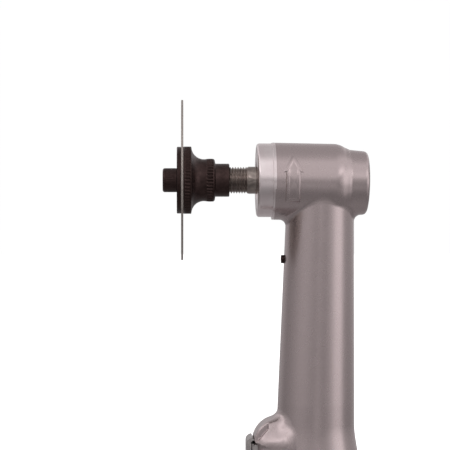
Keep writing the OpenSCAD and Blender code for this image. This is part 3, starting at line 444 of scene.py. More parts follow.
def uneven(finish, socket, size_mm, detail, low, high=None, stretch=None):
    """Varies a material's socket over the surface in spots of about size_mm: a colour between two tones, a
    roughness between two values, or a relief that is low mm deep."""
    tree = finish.node_tree
    place = add(tree, "ShaderNodeTexCoord").outputs["Object"]
    if stretch:
        place = add(tree, "ShaderNodeVectorMath", {0: place, 1: stretch}, operation="MULTIPLY").outputs[0]
    spots = add(tree, "ShaderNodeTexNoise", {
        "Vector": place, "Scale": 1 / (size_mm * MM), "Detail": detail}).outputs["Fac"]
    if socket == "Base Color":
        varied = add(tree, "ShaderNodeValToRGB", {"Fac": spots}, stops=[
            (0.3, linear(low)), (0.7, linear(high))])
    elif socket == "Roughness":
        varied = add(tree, "ShaderNodeMapRange", {
            "Value": spots, "From Min": 0.3, "From Max": 0.7, "To Min": low, "To Max": high})
    else:
        varied = add(tree, "ShaderNodeBump", {"Height": spots, "Distance": low * MM})
    tree.links.new(varied.outputs[0], tree.nodes["Principled BSDF"].inputs[socket])


# Silver enamel over a casting: fine aluminium flake under a thin clear film, so it shines softly with
# hardly any grain. The flake is 0.03 mm and is drawn at 0.5 mm, faint, over the slow waves of the casting.
paint = surface("satin_silver_enamel_sprayed", "#B9ABAC", 0.9, 0.27, Coat_Weight=0.1, Coat_Roughness=0.2)
uneven(paint, "Base Color", 0.5, 3, "#BAACAC", "#BFB2B2")
uneven(paint, "Roughness", 6, 2, 0.25, 0.29)
uneven(paint, "Normal", 4, 1, 0.004)

points, quads, normals = skin(casting, (-26, -17.5, 39.5), (20.5, 17.5, 221), 0.6)
piece("housing_casting", points, quads, paint, "handpiece", "painted_casting", ["main_housing"],
      normals=normals)


# ---------- Seam lip ----------
# The mouth of the casting is faced after painting, so a narrow ring of bare metal shows behind the cap.
def lathe(profile, sides, shape=None):
    """A closed profile of (forward, radius) turned round the spindle's axis, in the row frame.
    shape(turn, forward, radius) gives the radius where the piece isn't round."""
    f, r = np.array(profile, float).T
    turns = np.arange(sides) * 2 * math.pi / sides
    ff, tt = np.meshgrid(f, turns)
    rr = np.meshgrid(r, turns)[0]
    if shape:
        rr = shape(tt, ff, rr)
    verts = np.stack([-ff, rr * np.sin(tt), HEAD_Z + rr * np.cos(tt)], axis=-1).reshape(-1, 3)
    n = len(profile)
    i, j = [a.ravel() for a in np.meshgrid(np.arange(sides), np.arange(n), indexing="ij")]
    k, m = (i + 1) % sides, (j + 1) % n
    return verts, np.stack([i * n + j, i * n + m, k * n + m, k * n + j], axis=1)


def arc(cf, cr, radius, start, end, steps=6):
    """Points of a round corner: its centre, radius and angles in degrees from forward towards outward."""
    return [(cf + radius * math.cos(math.radians(a)), cr + radius * math.sin(math.radians(a)))
            for a in np.linspace(start, end, steps + 1)]


# Bare aluminium faced in a lathe: bright, with a reflection drawn out across its fine spiral of tool marks.
# The marks are 0.1 mm apart and are drawn at 0.4 mm so that they show.
MARK_PITCH, MARK_DEPTH = 0.4, 0.0012
bare = surface("aluminium_turned_bare", "#EDE2E3", 1, 0.24)
uneven(bare, "Base Color", 5, 2, "#E9DDDE", "#F1E8E8")
tree = bare.node_tree
place = add(tree, "ShaderNodeSeparateXYZ", {"Vector": add(tree, "ShaderNodeTexCoord").outputs["Object"]})
wave = add(tree, "ShaderNodeMath", {
    0: place.outputs["X"], 1: 2 * math.pi / (MARK_PITCH * MM)}, operation="MULTIPLY")
marks = add(tree, "ShaderNodeMath", {0: wave.outputs[0]}, operation="SINE")
relief = add(tree, "ShaderNodeBump", {"Height": marks.outputs[0], "Distance": MARK_DEPTH * MM})
tree.links.new(relief.outputs[0], tree.nodes["Principled BSDF"].inputs["Normal"])

piece("casting_seam_lip", *lathe([
    (SEAM - LIP - 0.8, 12.4), (SEAM, 12.4), (SEAM, HEAD_R - 0.06), (SEAM - 0.06, HEAD_R),
    (SEAM - LIP - 0.8, HEAD_R)], 192, lambda turn, f, r: r - DROP * np.cos(turn) * (r > 13)),
    bare, "handpiece", "machined_aluminium")

# ---------- Rotation arrow ----------
# Cast in relief on the barrel's side, half a millimetre high, with draft on its edges; it points the way
# that the near side of the disc runs.
ARROW_F = 10.7
ARROW = [(0, 9.4), (-3.2, 3.3), (-2.4, 3.3), (-2.4, -7.6), (2.4, -7.6), (2.4, 3.3), (3.2, 3.3)]
# Each level's distance in from the outline, and its height over the barrel.
ARROW_LEVELS = [(-0.5, -0.2), (-0.25, 0.08), (0.0, 0.3), (0.25, 0.44), (0.5, 0.49), (0.75, 0.44),
                (1.0, 0.32), (1.2, 0.27)]


def inset(outline, by):
    """The outline moved inward by a distance, with mitred corners."""
    out = []
    n = len(outline)
    for i in range(n):
        a, b, c = [Vector(outline[(i + k) % n]) for k in (-1, 0, 1)]
        n1 = Vector((-(b - a).y, (b - a).x)).normalized()
        n2 = Vector((-(c - b).y, (c - b).x)).normalized()
        mid = n1 + n2
        out.append(b + mid * by / (mid.dot(n1)))
    return out


work = bmesh.new()
loops = [[work.verts.new((p[0], h, p[1])) for p in inset(ARROW, d)] for d, h in ARROW_LEVELS]
for lower, upper in zip(loops, loops[1:]):
    for i in range(len(ARROW)):
        j = (i + 1) % len(ARROW)
        work.faces.new((lower[i], lower[j], upper[j], upper[i]))
work.faces.new(loops[-1])
for z in np.arange(-9, 10.5, 0.4):
    bmesh.ops.bisect_plane(work, geom=work.verts[:] + work.edges[:] + work.faces[:],
                           plane_co=(0, 0, z), plane_no=(0, 0, 1))
work.verts.ensure_lookup_table()
verts = []
for v in work.verts:
    r = HEAD_R + v.co.y
    f, up = ARROW_F - v.co.x - SEAM, v.co.z
    y = -math.sqrt(max(r * r - up * up, 0))
    verts.append((-(f * math.cos(DROOP) - up * math.sin(DROOP) + SEAM), y,
                  HEAD_Z - DROP + up * math.cos(DROOP) + f * math.sin(DROOP)))
faces = [[v.index for v in f.verts] for f in work.faces]
work.free()
piece("rotation_arrow", verts, faces, paint, "handpiece", "painted_casting", smooth=60)

# ---------- Front bearing cap ----------
# A turned aluminium ring screwed into the head; it holds the front bearing and the seal, and has two
# holes in its face for a pin spanner.
CAP_FACE, CAP_R = 23.6, 13.8
BRIDGE_R = 12.4
cap_profile = [(21.6, 5.5), (21.6, 8.1), (16.3, 8.1), (16.3, 9.2), (13.9, 9.2), (13.9, BRIDGE_R),
               (SEAM + 0.01, BRIDGE_R), (SEAM + 0.01, CAP_R)]
cap_profile += arc(CAP_FACE - 1, CAP_R - 1, 1, 90, 0, 8)
cap_profile += [(CAP_FACE, 7.4), (CAP_FACE - 0.5, 7.0), (CAP_FACE - 0.5, 5.5)]
cap = piece("bearing_cap_ring", *lathe(cap_profile, 192), bare, "handpiece", "machined_aluminium",
            ["front_bearing_cap"])


def bore(target, centre, axis, radius, depth, sides=32):
    """Cuts a round or many-sided hole into a piece: centre in mm, and the axis that it runs along."""
    work = bmesh.new()
    bmesh.ops.create_cone(work, cap_ends=True, segments=sides, radius1=radius * MM, radius2=radius * MM,
                          depth=depth * MM)
    turn = Vector((0, 0, 1)).rotation_difference(Vector(axis)).to_matrix().to_4x4()
    bmesh.ops.transform(work, matrix=Matrix.Translation(Vector(centre) * MM) @ turn, verts=work.verts)
    mesh = bpy.data.meshes.new("cutter")
    work.to_mesh(mesh)
    work.free()
    cutter = bpy.data.objects.new("cutter", mesh)
    bpy.context.scene.collection.objects.link(cutter)
    change = target.modifiers.new("bore", "BOOLEAN")
    change.operation = "DIFFERENCE"
    change.solver = "EXACT"
    change.object = cutter
    apply_modifiers(target)
    bpy.data.objects.remove(cutter)


def apply_modifiers(target):
    """Makes a piece's modifiers part of its mesh."""
    depsgraph = bpy.context.evaluated_depsgraph_get()
    done = bpy.data.meshes.new_from_object(target.evaluated_get(depsgraph))
    target.modifiers.clear()
    target.data = done


for side in (-1, 1):
    bore(cap, (-CAP_FACE, 0, HEAD_Z + side * 11.2), (1, 0, 0), 1, 4)

# ---------- Spindle ----------
# Hardened steel, ground where it runs in the seal and screw-cut M10 x 1 in front for the arbor; its rear
# steps carry the bevel gear and the bearings.
SHAFT_R, THREAD_R, THREAD_ROOT, PITCH = 5.1, 4.95, 4.38, 1.0
SHAFT_FRONT, SPINDLE_TIP = 26.7, 45.56
THREAD_STEPS = 10


def across_thread(turn, along, pitch):
    """Where a point lies across the thread that climbs round an axis, from 0 to 1 over one pitch."""
    return np.mod(along / pitch - turn / (2 * math.pi), 1)


def thread_height(phase):
    """A V thread's height, 0 at its root and 1 on its flat-topped crest."""
    return np.clip(1.25 - np.abs(phase - 0.5) * 3.0, 0, 1)


def thread_form(turn, forward, radius):
    """The spindle's thread, which runs out at both ends."""
    ends = ease((forward - SHAFT_FRONT - 0.1) / 0.7) * ease((SPINDLE_TIP - 0.3 - forward) / 0.6)
    cut_to = THREAD_ROOT + (THREAD_R - THREAD_ROOT) * thread_height(across_thread(turn, forward, PITCH))
    on_thread = (radius > THREAD_R - 0.01) & (forward > SHAFT_FRONT + 0.05)
    return np.where(on_thread, radius + (cut_to - radius) * ends, radius)


thread_f = np.arange(SHAFT_FRONT + 0.35, SPINDLE_TIP - 0.3, PITCH / THREAD_STEPS)
spindle_profile = [(-18.0, 0.01), (-18.0, 3.7), (-17.7, 4), (-9.8, 4), (-9.8, 4.5), (-5.4, 4.5), (-5.4, 5),
                   (13.9, 5), (13.9, 6.4), (15.4, 6.4), (15.4, 5.1), (20, SHAFT_R), (24, SHAFT_R),
                   (SHAFT_FRONT - 0.1, SHAFT_R), (SHAFT_FRONT + 0.1, THREAD_R)]
spindle_profile += [(f, THREAD_R) for f in thread_f]
spindle_profile += [(SPINDLE_TIP, 4.5), (SPINDLE_TIP, 2.5), (SPINDLE_TIP - 11, 2.5),
                    (SPINDLE_TIP - 12.2, 0.01)]

# Hardened steel, ground: nearly a mirror, so dark and bright by turns, with a faint straw tone from heat.
# Its tones are kept darker than bare steel as painted shade, standing in for the black arbor and the dark
# surroundings that the shaft reflects.
ground = surface("hardened_steel_ground", "#958B87", 1, 0.1)
uneven(ground, "Base Color", 1.5, 4, "#8A807C", "#A0968F")
uneven(ground, "Roughness", 0.8, 2, 0.09, 0.13)
piece("spindle_threaded", *lathe(spindle_profile, 96, thread_form), ground, "spindle_set", "ground_steel",
      ["spindle"], smooth=50)

# ---------- Arbor ----------
# Turned steel screwed on the spindle: a flange with straight flutes for the fingers, a concave flare, a
# small fluted band and a plain sleeve. Chemically blackened.
SLEEVE_BACK, SLEEVE_R = 33.83, 6.2
BAND_BACK, BAND_FRONT, BAND_R, BAND_FLUTES, BAND_DEPTH = 39.2, 43.3, 8.05, 38, 0.42
FLARE_R, FLARE_OUT = 4.7, 12.55
FLANGE_BACK, FLANGE_R, FLANGE_FLUTES, FLANGE_DEPTH = 48.0, 12.6, 60, 0.28
DISC_BACK, DISC_FRONT = 51.06, 51.86
FLUTE_FACETS = 10


def wavy(turn, count):
    """Round-bottomed grooves round an axis, from 0 on the lands to 1 in each groove."""
    return (np.cos(turn * count) * 0.5 + 0.5) ** 1.5


def flutes(turn, forward, radius):
    """Rounded grooves along the flange's rim and over the small band."""
    on_flange = ease((forward - FLANGE_BACK - 0.35) / 0.35) * ease((DISC_BACK - 0.55 - forward) / 0.35)
    on_flange = np.where(radius > FLANGE_R - 0.5, on_flange, 0)
    on_band = ease((forward - BAND_BACK - 0.7) / 0.4) * ease((BAND_FRONT - 0.8 - forward) / 0.6)
    on_band = np.where((radius > BAND_R - 0.7) & (forward < BAND_FRONT - 0.3), on_band, 0)
    in_flange = FLANGE_DEPTH * on_flange * wavy(turn, FLANGE_FLUTES)
    return radius - in_flange - BAND_DEPTH * on_band * wavy(turn, BAND_FLUTES)


arbor_profile = [(SLEEVE_BACK, THREAD_R), (SLEEVE_BACK, SLEEVE_R - 0.2), (SLEEVE_BACK + 0.2, SLEEVE_R),
                 (36, SLEEVE_R), (38.9, SLEEVE_R), (39.15, SLEEVE_R + 0.25)]
arbor_profile += arc(BAND_BACK + 0.95, BAND_R - 0.95, 0.95, 180, 105, 6)
arbor_profile += [(f, BAND_R - 0.055 * (f - 41) ** 2) for f in np.arange(40.1, 43.0, 0.2)]
arbor_profile += [(FLARE_R * math.sin(a) + BAND_FRONT, FLARE_OUT - FLARE_R * math.cos(a))
                  for a in np.radians(np.linspace(3, 86, 22))]
arbor_profile += [(FLANGE_BACK + 0.05, FLANGE_R - 0.1)]
arbor_profile += [(f, FLANGE_R) for f in np.arange(FLANGE_BACK + 0.2, DISC_BACK - 0.2, 0.13)]
arbor_profile += [(DISC_BACK - 0.2, FLANGE_R), (DISC_BACK, FLANGE_R - 0.2), (DISC_BACK, 4),
                  (DISC_FRONT - 0.35, 4), (DISC_FRONT - 0.2, 3.85), (DISC_FRONT - 0.2, 2.65),
                  (46.06, 2.65), (46.06, THREAD_R), (40, THREAD_R)]

# Black oxide on steel: a dark brown-black skin with an oiled, soft sheen that is thinner on the crests.
black = surface("steel_black_oxide_oiled", "#362926", 0.8, 0.38)
uneven(black, "Base Color", 1.2, 5, "#382A28", "#453533")
uneven(black, "Roughness", 0.8, 3, 0.31, 0.42)
uneven(black, "Normal", 0.5, 2, 0.003)
piece("arbor_fluted", *lathe(arbor_profile, FLANGE_FLUTES * FLUTE_FACETS, flutes), black, "spindle_set",
      "black_oxide", ["arbor_hub"], smooth=50)

# ---------- Disc ----------
# A thin spring-steel blank with a band of hard grit bonded to its rim and both faces near it.
DISC_R, DISC_HOLE, HUB_R, GRIT_FROM = 30.0, 4.0, 13.0, 23.5
DISC_MID, DISC_HALF, CORE_HALF = (DISC_BACK + DISC_FRONT) / 2, (DISC_FRONT - DISC_BACK) / 2, 0.32
# From the hole out to the rim on one face; the other face is its mirror, back to the hole.
face = [(DISC_HALF, DISC_HOLE), (DISC_HALF, HUB_R), (CORE_HALF, HUB_R + 0.4)]
face += [(CORE_HALF, r) for r in (17, 20, GRIT_FROM)]
face += [(DISC_HALF, r) for r in (GRIT_FROM + 0.25, 25, 26.5, 28, DISC_R - 0.25)]
face += [(DISC_HALF * 0.6, DISC_R)]
disc_profile = [(DISC_MID - out, r) for out, r in face] + [(DISC_MID + out, r) for out, r in face[::-1]]

# Spring steel, ground bright in rings that are drawn 0.4 mm apart, and a rim of 0.1 mm grit, drawn at
# 0.3 mm, which is paler and scatters the light.
steel_disc = surface("spring_steel_ground_grit_rim", "#BDB6B0", 1, 0.3)
tree = steel_disc.node_tree
shader = tree.nodes["Principled BSDF"]
place = add(tree, "ShaderNodeTexCoord").outputs["Object"]
spots = add(tree, "ShaderNodeTexNoise", {"Vector": place, "Scale": 1 / (3 * MM), "Detail": 4}).outputs["Fac"]
grain = add(tree, "ShaderNodeTexVoronoi", {"Vector": place, "Scale": 1 / (0.3 * MM)}).outputs["Distance"]
parts = add(tree, "ShaderNodeSeparateXYZ", {"Vector": place})
over = add(tree, "ShaderNodeMath", {0: parts.outputs["Z"], 1: -HEAD_Z * MM}, operation="ADD").outputs[0]
flat_place = add(tree, "ShaderNodeCombineXYZ", {"X": parts.outputs["Y"], "Y": over}).outputs[0]
from_axis = add(tree, "ShaderNodeVectorMath", {0: flat_place}, operation="LENGTH").outputs["Value"]
on_grit = add(tree, "ShaderNodeMapRange", {
    "Value": from_axis, "From Min": (GRIT_FROM - 0.1) * MM, "From Max": (GRIT_FROM + 0.3) * MM}).outputs[0]
rings = add(tree, "ShaderNodeMath", {0: from_axis, 1: 2 * math.pi / (0.4 * MM)}, operation="MULTIPLY")
ring_wave = add(tree, "ShaderNodeMath", {0: rings.outputs[0]}, operation="SINE").outputs[0]
height = add(tree, "ShaderNodeMix", {"Factor": on_grit, "A": ring_wave, "B": grain}).outputs["Result"]
relief = add(tree, "ShaderNodeBump", {"Height": height, "Distance": 0.012 * MM})
tree.links.new(relief.outputs[0], shader.inputs["Normal"])
steel_tone = add(tree, "ShaderNodeValToRGB", {"Fac": spots}, stops=[
    (0.3, linear("#B4ADA6")), (0.7, linear("#CCC6C0"))]).outputs["Color"]
grit_tone = add(tree, "ShaderNodeValToRGB", {"Fac": grain}, stops=[
    (0.1, linear("#DAD4CE")), (0.6, linear("#A69E98"))]).outputs["Color"]
colour = add(tree, "ShaderNodeMixRGB", {"Fac": on_grit, "Color1": steel_tone, "Color2": grit_tone})
tree.links.new(colour.outputs[0], shader.inputs["Base Color"])
gloss = add(tree, "ShaderNodeMapRange", {"Value": on_grit, "To Min": 0.28, "To Max": 0.55})
tree.links.new(gloss.outputs[0], shader.inputs["Roughness"])
piece("disc_grit_rim", *lathe(disc_profile, 256), steel_disc, "spindle_set", "disc_steel", ["cutting_disc"],
      smooth=40)

# ---------- Clamp washer and screw ----------
# A thick blackened washer the size of the flange, and an M5 socket-head cap screw with a fine straight
# knurl that draws the disc against the arbor.
WASHER_FRONT, WASHER_R = 53.47, 12.5
CLAMP_R, CLAMP_PITCH, CLAMP_DEPTH, CLAMP_TIP = 2.5, 0.8, 0.4, 36.56
CLAMP_HEAD, CLAMP_HEAD_R, KNURL_COUNT, KNURL_DEPTH, SOCKET_R = 5.3, 4.5, 44, 0.07, 2.3
CLAMP_FRONT = WASHER_FRONT + CLAMP_HEAD
piece("clamp_washer_black", *lathe([
    (DISC_FRONT, 2.65), (DISC_FRONT, WASHER_R - 0.15), (DISC_FRONT + 0.15, WASHER_R),
    (WASHER_FRONT - 0.25, WASHER_R), (WASHER_FRONT, WASHER_R - 0.25), (WASHER_FRONT, 2.65)], 192),
    black, "spindle_set", "black_oxide", ["clamp_washer"])


def clamp_form(turn, forward, radius):
    """A thread on the screw's shank, and a straight knurl along its head."""
    deep = CLAMP_DEPTH * (1 - thread_height(across_thread(turn, forward, CLAMP_PITCH)))
    on_shank = (np.abs(radius - CLAMP_R) < 0.05) & (forward < SPINDLE_TIP)
    on_head = ease((forward - WASHER_FRONT - 0.4) / 0.2) * ease((CLAMP_FRONT - 1.07 - forward) / 0.2)
    on_head = np.where(radius > CLAMP_HEAD_R - 0.05, on_head, 0)
    knurled = radius - KNURL_DEPTH * on_head * (np.cos(turn * KNURL_COUNT) * 0.5 + 0.5)
    return np.where(on_shank, radius - deep, knurled)


clamp_profile = [(CLAMP_TIP, 0.01), (CLAMP_TIP, CLAMP_R - 0.5)]
clamp_profile += [(f, CLAMP_R) for f in np.arange(36.8, SPINDLE_TIP + 0.5, 0.1)]
clamp_profile += [(WASHER_FRONT, CLAMP_R), (WASHER_FRONT, CLAMP_HEAD_R - 0.15),
                  (WASHER_FRONT + 0.15, CLAMP_HEAD_R)]
clamp_profile += [(f, CLAMP_HEAD_R) for f in np.arange(WASHER_FRONT + 0.35, CLAMP_FRONT - 0.9, 0.12)]
clamp_profile += arc(CLAMP_FRONT - 0.8, CLAMP_HEAD_R - 0.8, 0.8, 90, 0, 6)
clamp_profile += [(CLAMP_FRONT, 2.9), (CLAMP_FRONT - 0.12, 2.75), (CLAMP_FRONT - 0.12, 0.01)]
clamp = piece("clamp_cap_screw", *lathe(clamp_profile, 8 * KNURL_COUNT, clamp_form), black, "spindle_set",
              "black_oxide", ["clamp_screw"])
bore(clamp, (-CLAMP_FRONT, 0, HEAD_Z), (1, 0, 0), SOCKET_R, 5.2, 6)

# ---------- Cartridge set screw ----------
# An M3 hexagon-socket set screw in the front of the neck; it locks the pinion's cartridge. Black oxide.
SET_BACK, SET_FRONT, SET_PITCH = 9.0, 14.4, 0.5


def set_thread(turn, forward, radius):
    """An M3 x 0.5 thread, drawn shallow."""
    groove = 0.12 * ease(np.abs(across_thread(turn, forward, SET_PITCH) - 0.5) * 3 - 0.5)
    return np.where(radius > SET_R - 0.01, radius - groove, radius)


set_profile = [(SET_BACK, 0.01), (SET_BACK, SET_R - 0.3)]
set_profile += [(f, SET_R) for f in np.arange(SET_BACK + 0.3, SET_FRONT - 0.25, 0.08)]
set_profile += [(SET_FRONT - 0.1, SET_R - 0.12), (SET_FRONT, SET_R - 0.3), (SET_FRONT, 0.01)]
set_verts, set_quads = lathe(set_profile, 48, set_thread)
slots_of = {row["node"]: row["material_slot"] for row in frame["record"]["subparts"]}
set_screw = piece("set_screw_socket", set_verts + [0, 0, SET_Z - HEAD_Z], set_quads, black, "handpiece",
                  slots_of["cartridge_set_screw"], ["cartridge_set_screw"], smooth=50)
bore(set_screw, (-SET_FRONT, 0, SET_Z), (1, 0, 0), 0.87, 3.2, 6)

# ---------- Backhead ----------
# A smaller casting bolted under the handle: it carries the throttle valve, the speed regulator, the air
# inlet and the exhaust ways. Painted like the housing, and machined where it meets the gasket.
BACKHEAD_Z, BACKHEAD_TOP, SPIGOT_TOP, SPIGOT_R = 16.0, 40.0, 46.0, 12.97
VALVE_Z, REGULATOR_X, REGULATOR_Z = 30.0, -9.5, 36.6
# Bores from start to end, and their radius. The valve's run back from the lever, the regulator's from its
# side, and the air's upwards: inlet, inlet to valve, valve past the regulator to the motor, and exhaust.
VALVE_BORES = [(-30, 5, 4.4), (4, 11, 3.2), (10, 24, 1.85), (10, 16.8, 2.45)]
REGULATOR_BORES = [(-4, 20, 2.45), (11.4, 20, 3.3)]
INLET_BORE, INLET_WAY, INLET_WAY_X = (0, 24.5, 8.2), (23, 30, 3), 5
MOTOR_WAY, EXHAUST_WAY, EXHAUST_X, EXHAUST_Y = (VALVE_Z, 50, 1.9), (10, 50, 1.6), 5.4, 9.35
CLEARANCE_R, COUNTERBORE_R, COUNTERBORE_TOP = 2.15, 3.6, 20.2


def backhead_shape(x, y, z):
    """Signed distance, in mm, to the backhead."""
    body = meet(handle_outline(x, y), BACKHEAD_Z - z, 1.2)
    body = meet(body, z - BACKHEAD_TOP, 0.25)
    round_z = length2(x, y)
    body = np.minimum(body, rod(z, round_z, 38, SPIGOT_TOP, SPIGOT_R))
    channel = np.maximum(x + CHANNEL_FLOOR, np.abs(y) - CHANNEL_HALF)
    round_x = length2(y, z - VALVE_Z)
    round_y = length2(x - REGULATOR_X, z - REGULATOR_Z)
    screws = length2(x + SCREW_X, np.abs(y) - SCREW_Y)
    holes = [rod(-x, round_x, *b) for b in VALVE_BORES] + [rod(y, round_y, *b) for b in REGULATOR_BORES]
    holes += [rod(z, round_z, *INLET_BORE), rod(z, length2(x - INLET_WAY_X, y), *INLET_WAY),
              rod(z, length2(x - REGULATOR_X, y), *MOTOR_WAY),
              rod(z, length2(x + EXHAUST_X, np.abs(y) - EXHAUST_Y), *EXHAUST_WAY),
              screws - CLEARANCE_R, np.maximum(screws - COUNTERBORE_R, z - COUNTERBORE_TOP)]
    return cut(cut(body, channel, 0.45), np.minimum.reduce(holes), 0.25)


points, quads, normals = skin(backhead_shape, (-24.5, -17, 15), (16.5, 17, 47), 0.5)
piece("backhead_casting", points, quads, paint, "handpiece", "painted_casting", ["backhead"],
      normals=normals)

# ---------- Throttle lever ----------
# Pressed from 1.6 mm steel sheet: a face plate with a rolled nose and a turned-up tail, and a cheek on
# each side that hangs it on its pin. Satin nickel plated, so its bent edges stay soft.
LEVER_FACE, LEVER_HALF, SHEET, EDGE = 27.5, 5.7, 1.6, 0.3
NOSE_Z, NOSE_R, TAIL_Z, TAIL_R = 107.1, 2.2, 24.0, 4.0
CHEEK_OUT, CHEEK_IN = 5.4, 4.0
CHEEK = [(26.4, 106.7), (20.2, 106.7), (18.9, 103.4), (18.9, 98.6), (21.4, 92.0), (25.2, 34.0), (26.4, 34.0)]


def below_line(x, z, a, b):
    """Signed distance to the line from a to b, positive on its left."""
    run = Vector((b[0] - a[0], b[1] - a[1])).normalized()
    return run.x * (z - a[1]) - run.y * (x - a[0])


def lever_shape(x, y, z):
    """Signed distance, in mm, to the pressed lever."""
    forward = -x
    half = SHEET / 2 - EDGE
    plate = np.abs(forward - LEVER_FACE + SHEET / 2) - half
    plate = np.maximum(plate, np.maximum(TAIL_Z - z, z - NOSE_Z))
    from_nose = length2(forward - LEVER_FACE + NOSE_R, z - NOSE_Z)
    nose = np.abs(from_nose - NOSE_R + SHEET / 2) - half
    nose = np.maximum(nose, np.maximum(NOSE_Z - z, 25.45 - forward))
    from_tail = length2(forward - LEVER_FACE - TAIL_R, z - TAIL_Z)
    tail = np.abs(from_tail - TAIL_R - SHEET / 2) - half
    tail = np.maximum(tail, np.maximum(z - TAIL_Z, forward - LEVER_FACE - 1.2))
    sheet = np.minimum(np.minimum(plate, nose), tail)
    sheet = np.maximum(sheet, np.abs(y) - (LEVER_HALF - EDGE)) - EDGE
    cheek = np.full(np.shape(x), -100.0)
    for a, b in zip(CHEEK, CHEEK[1:] + CHEEK[:1]):
        cheek = meet(cheek, -below_line(forward, z, a, b), 1.0)
    middle = (CHEEK_OUT + CHEEK_IN) / 2
    cheek = meet(cheek, np.abs(np.abs(y) - middle) - (CHEEK_OUT - middle), 0.35)
    pin = length2(x + PIVOT[0], z - PIVOT[1]) - PIVOT_R - 0.05
    return cut(join(sheet, cheek, 0.8), pin, 0.15)


# Satin nickel over pressed steel: a soft, slightly warm grey, brushed along the lever before plating. The
# brush lines are 0.05 mm apart and are drawn at 0.25 mm.
nickel = surface("steel_satin_nickel_plated", "#B5B0AE", 1, 0.28)
along_lever = (1, 1, 0.04)
uneven(nickel, "Base Color", 1.5, 3, "#ABA6A5", "#BEB9B7")
uneven(nickel, "Roughness", 0.25, 2, 0.24, 0.32, along_lever)
uneven(nickel, "Normal", 0.25, 2, 0.002, stretch=along_lever)
points, quads, normals = skin(lever_shape, (-30.5, -6.5, 18), (-17.5, 6.5, 111), 0.4)
piece("lever_pressed", points, quads, nickel, "lever", "lever_steel", ["throttle_lever"], normals=normals)

# ---------- Air inlet ----------
# A turned steel bushing screwed into the backhead: chamfered hexagon, collar, and a G1/4 thread inside for
# the hose fitting. Left bright and oiled.
HEX_TOP, HEX_CORNER, HEX_CHAMFER_R = 7.6, 11.0, 10.1
COLLAR_R, COLLAR_TOP, BUSHING_R, BUSHING_TOP = 9.0, 15.2, 8.2, 24.3
INLET_R, INLET_PITCH, INLET_DEPTH, INLET_TOP = 5.8, 1.337, 0.5, 11.5


def upright(profile, sides, shape=None):
    """A closed profile of (height, radius) turned round the neck's axis."""
    verts, quads = lathe(profile, sides, shape)
    return np.stack([verts[:, 1], verts[:, 2] - HEAD_Z, -verts[:, 0]], axis=1), quads


def bushing_form(turn, up, radius):
    """The hexagon's flats and chamfered corners, and the thread in its bore."""
    flat = HEX_CORNER * math.cos(math.pi / 6) / np.cos(np.mod(turn, math.pi / 3) - math.pi / 6)
    chamfer = HEX_CHAMFER_R + 1.7 * np.minimum(up - 0.05, HEX_TOP - up)
    on_hexagon = (up < HEX_TOP + 0.01) & (radius > COLLAR_R + 0.4)
    outer = np.where(on_hexagon, np.minimum(flat, np.minimum(chamfer, radius)), radius)
    height = np.clip(1.3 - np.abs(across_thread(turn, up, INLET_PITCH) - 0.5) * 3.2, 0, 1)
    groove = INLET_DEPTH * height * ease((INLET_TOP - 1 - up) / 1.5) * ease(up / 0.8)
    return np.where((radius < INLET_R + 0.01) & (up < INLET_TOP), outer + groove, outer)


bushing_profile = [(up, INLET_R) for up in np.arange(INLET_TOP - 0.1, 0.4, -0.11)]
bushing_profile += [(0.0, INLET_R + 0.5), (0.0, 9.5)]
bushing_profile += [(up, HEX_CORNER) for up in (0.06, 0.25, 0.5, 0.8, 2, 4, 6, 7.0, 7.25, 7.45, HEX_TOP)]
bushing_profile += [(HEX_TOP, COLLAR_R + 0.4), (HEX_TOP + 0.1, COLLAR_R), (COLLAR_TOP - 0.2, COLLAR_R),
                    (COLLAR_TOP, COLLAR_R - 0.2), (COLLAR_TOP, BUSHING_R), (BUSHING_TOP - 0.3, BUSHING_R),
                    (BUSHING_TOP, BUSHING_R - 0.3), (BUSHING_TOP, 4.2), (12.0, 4.2), (12.0, INLET_R)]
# Turned steel, oiled: bright and a little warm, with patches where the oil lies thicker.
bright = surface("steel_turned_oiled", "#B2ADA8", 1, 0.24)
uneven(bright, "Base Color", 2, 4, "#A59F9A", "#BFBAB5")
uneven(bright, "Roughness", 1.0, 3, 0.2, 0.3)
piece("inlet_hex_bushing", *upright(bushing_profile, 144, bushing_form), bright, "handpiece",
      slots_of["inlet_bushing"], ["inlet_bushing"], smooth=25)

# ---------- Exhaust deflector ----------
# A black anodised ring that turns on the bushing's collar, grooved for grip, with seven round exhaust
# holes on one side that aim the air away from the user.
DEFLECTOR_Z, DEFLECTOR_TOP, DEFLECTOR_R, DEFLECTOR_BORE = 8.0, 15.8, 13.5, 9.05
GRIP_COUNT, GRIP_DEPTH, GRIP_TOP = 48, 0.3, 2.4
HOLE_Z, HOLE_R = 12.2, 1.2


def grip(turn, up, radius):
    """Axial grooves round the lower rim."""
    on_rim = ease((up - DEFLECTOR_Z - 0.5) / 0.3) * ease((DEFLECTOR_Z + GRIP_TOP - up) / 0.3)
    on_rim = np.where(radius > DEFLECTOR_R - 0.1, on_rim, 0)
    return radius - GRIP_DEPTH * on_rim * wavy(turn, GRIP_COUNT)


deflector_profile = [(DEFLECTOR_Z, DEFLECTOR_BORE), (DEFLECTOR_Z, DEFLECTOR_R - 0.5)]
deflector_profile += arc(DEFLECTOR_Z + 0.45, DEFLECTOR_R - 0.45, 0.45, 150, 95, 3)
deflector_profile += [(DEFLECTOR_Z + up, DEFLECTOR_R)
                      for up in (0.5, 0.65, 0.8, 1.2, 1.6, 2.1, 2.25, GRIP_TOP, 2.6)]
deflector_profile += [(DEFLECTOR_TOP - 0.4, DEFLECTOR_R), (DEFLECTOR_TOP, DEFLECTOR_R - 0.4),
                      (DEFLECTOR_TOP, DEFLECTOR_R - 1), (DEFLECTOR_Z + 1.5, DEFLECTOR_R - 1),
                      (DEFLECTOR_Z + 1.5, DEFLECTOR_BORE)]
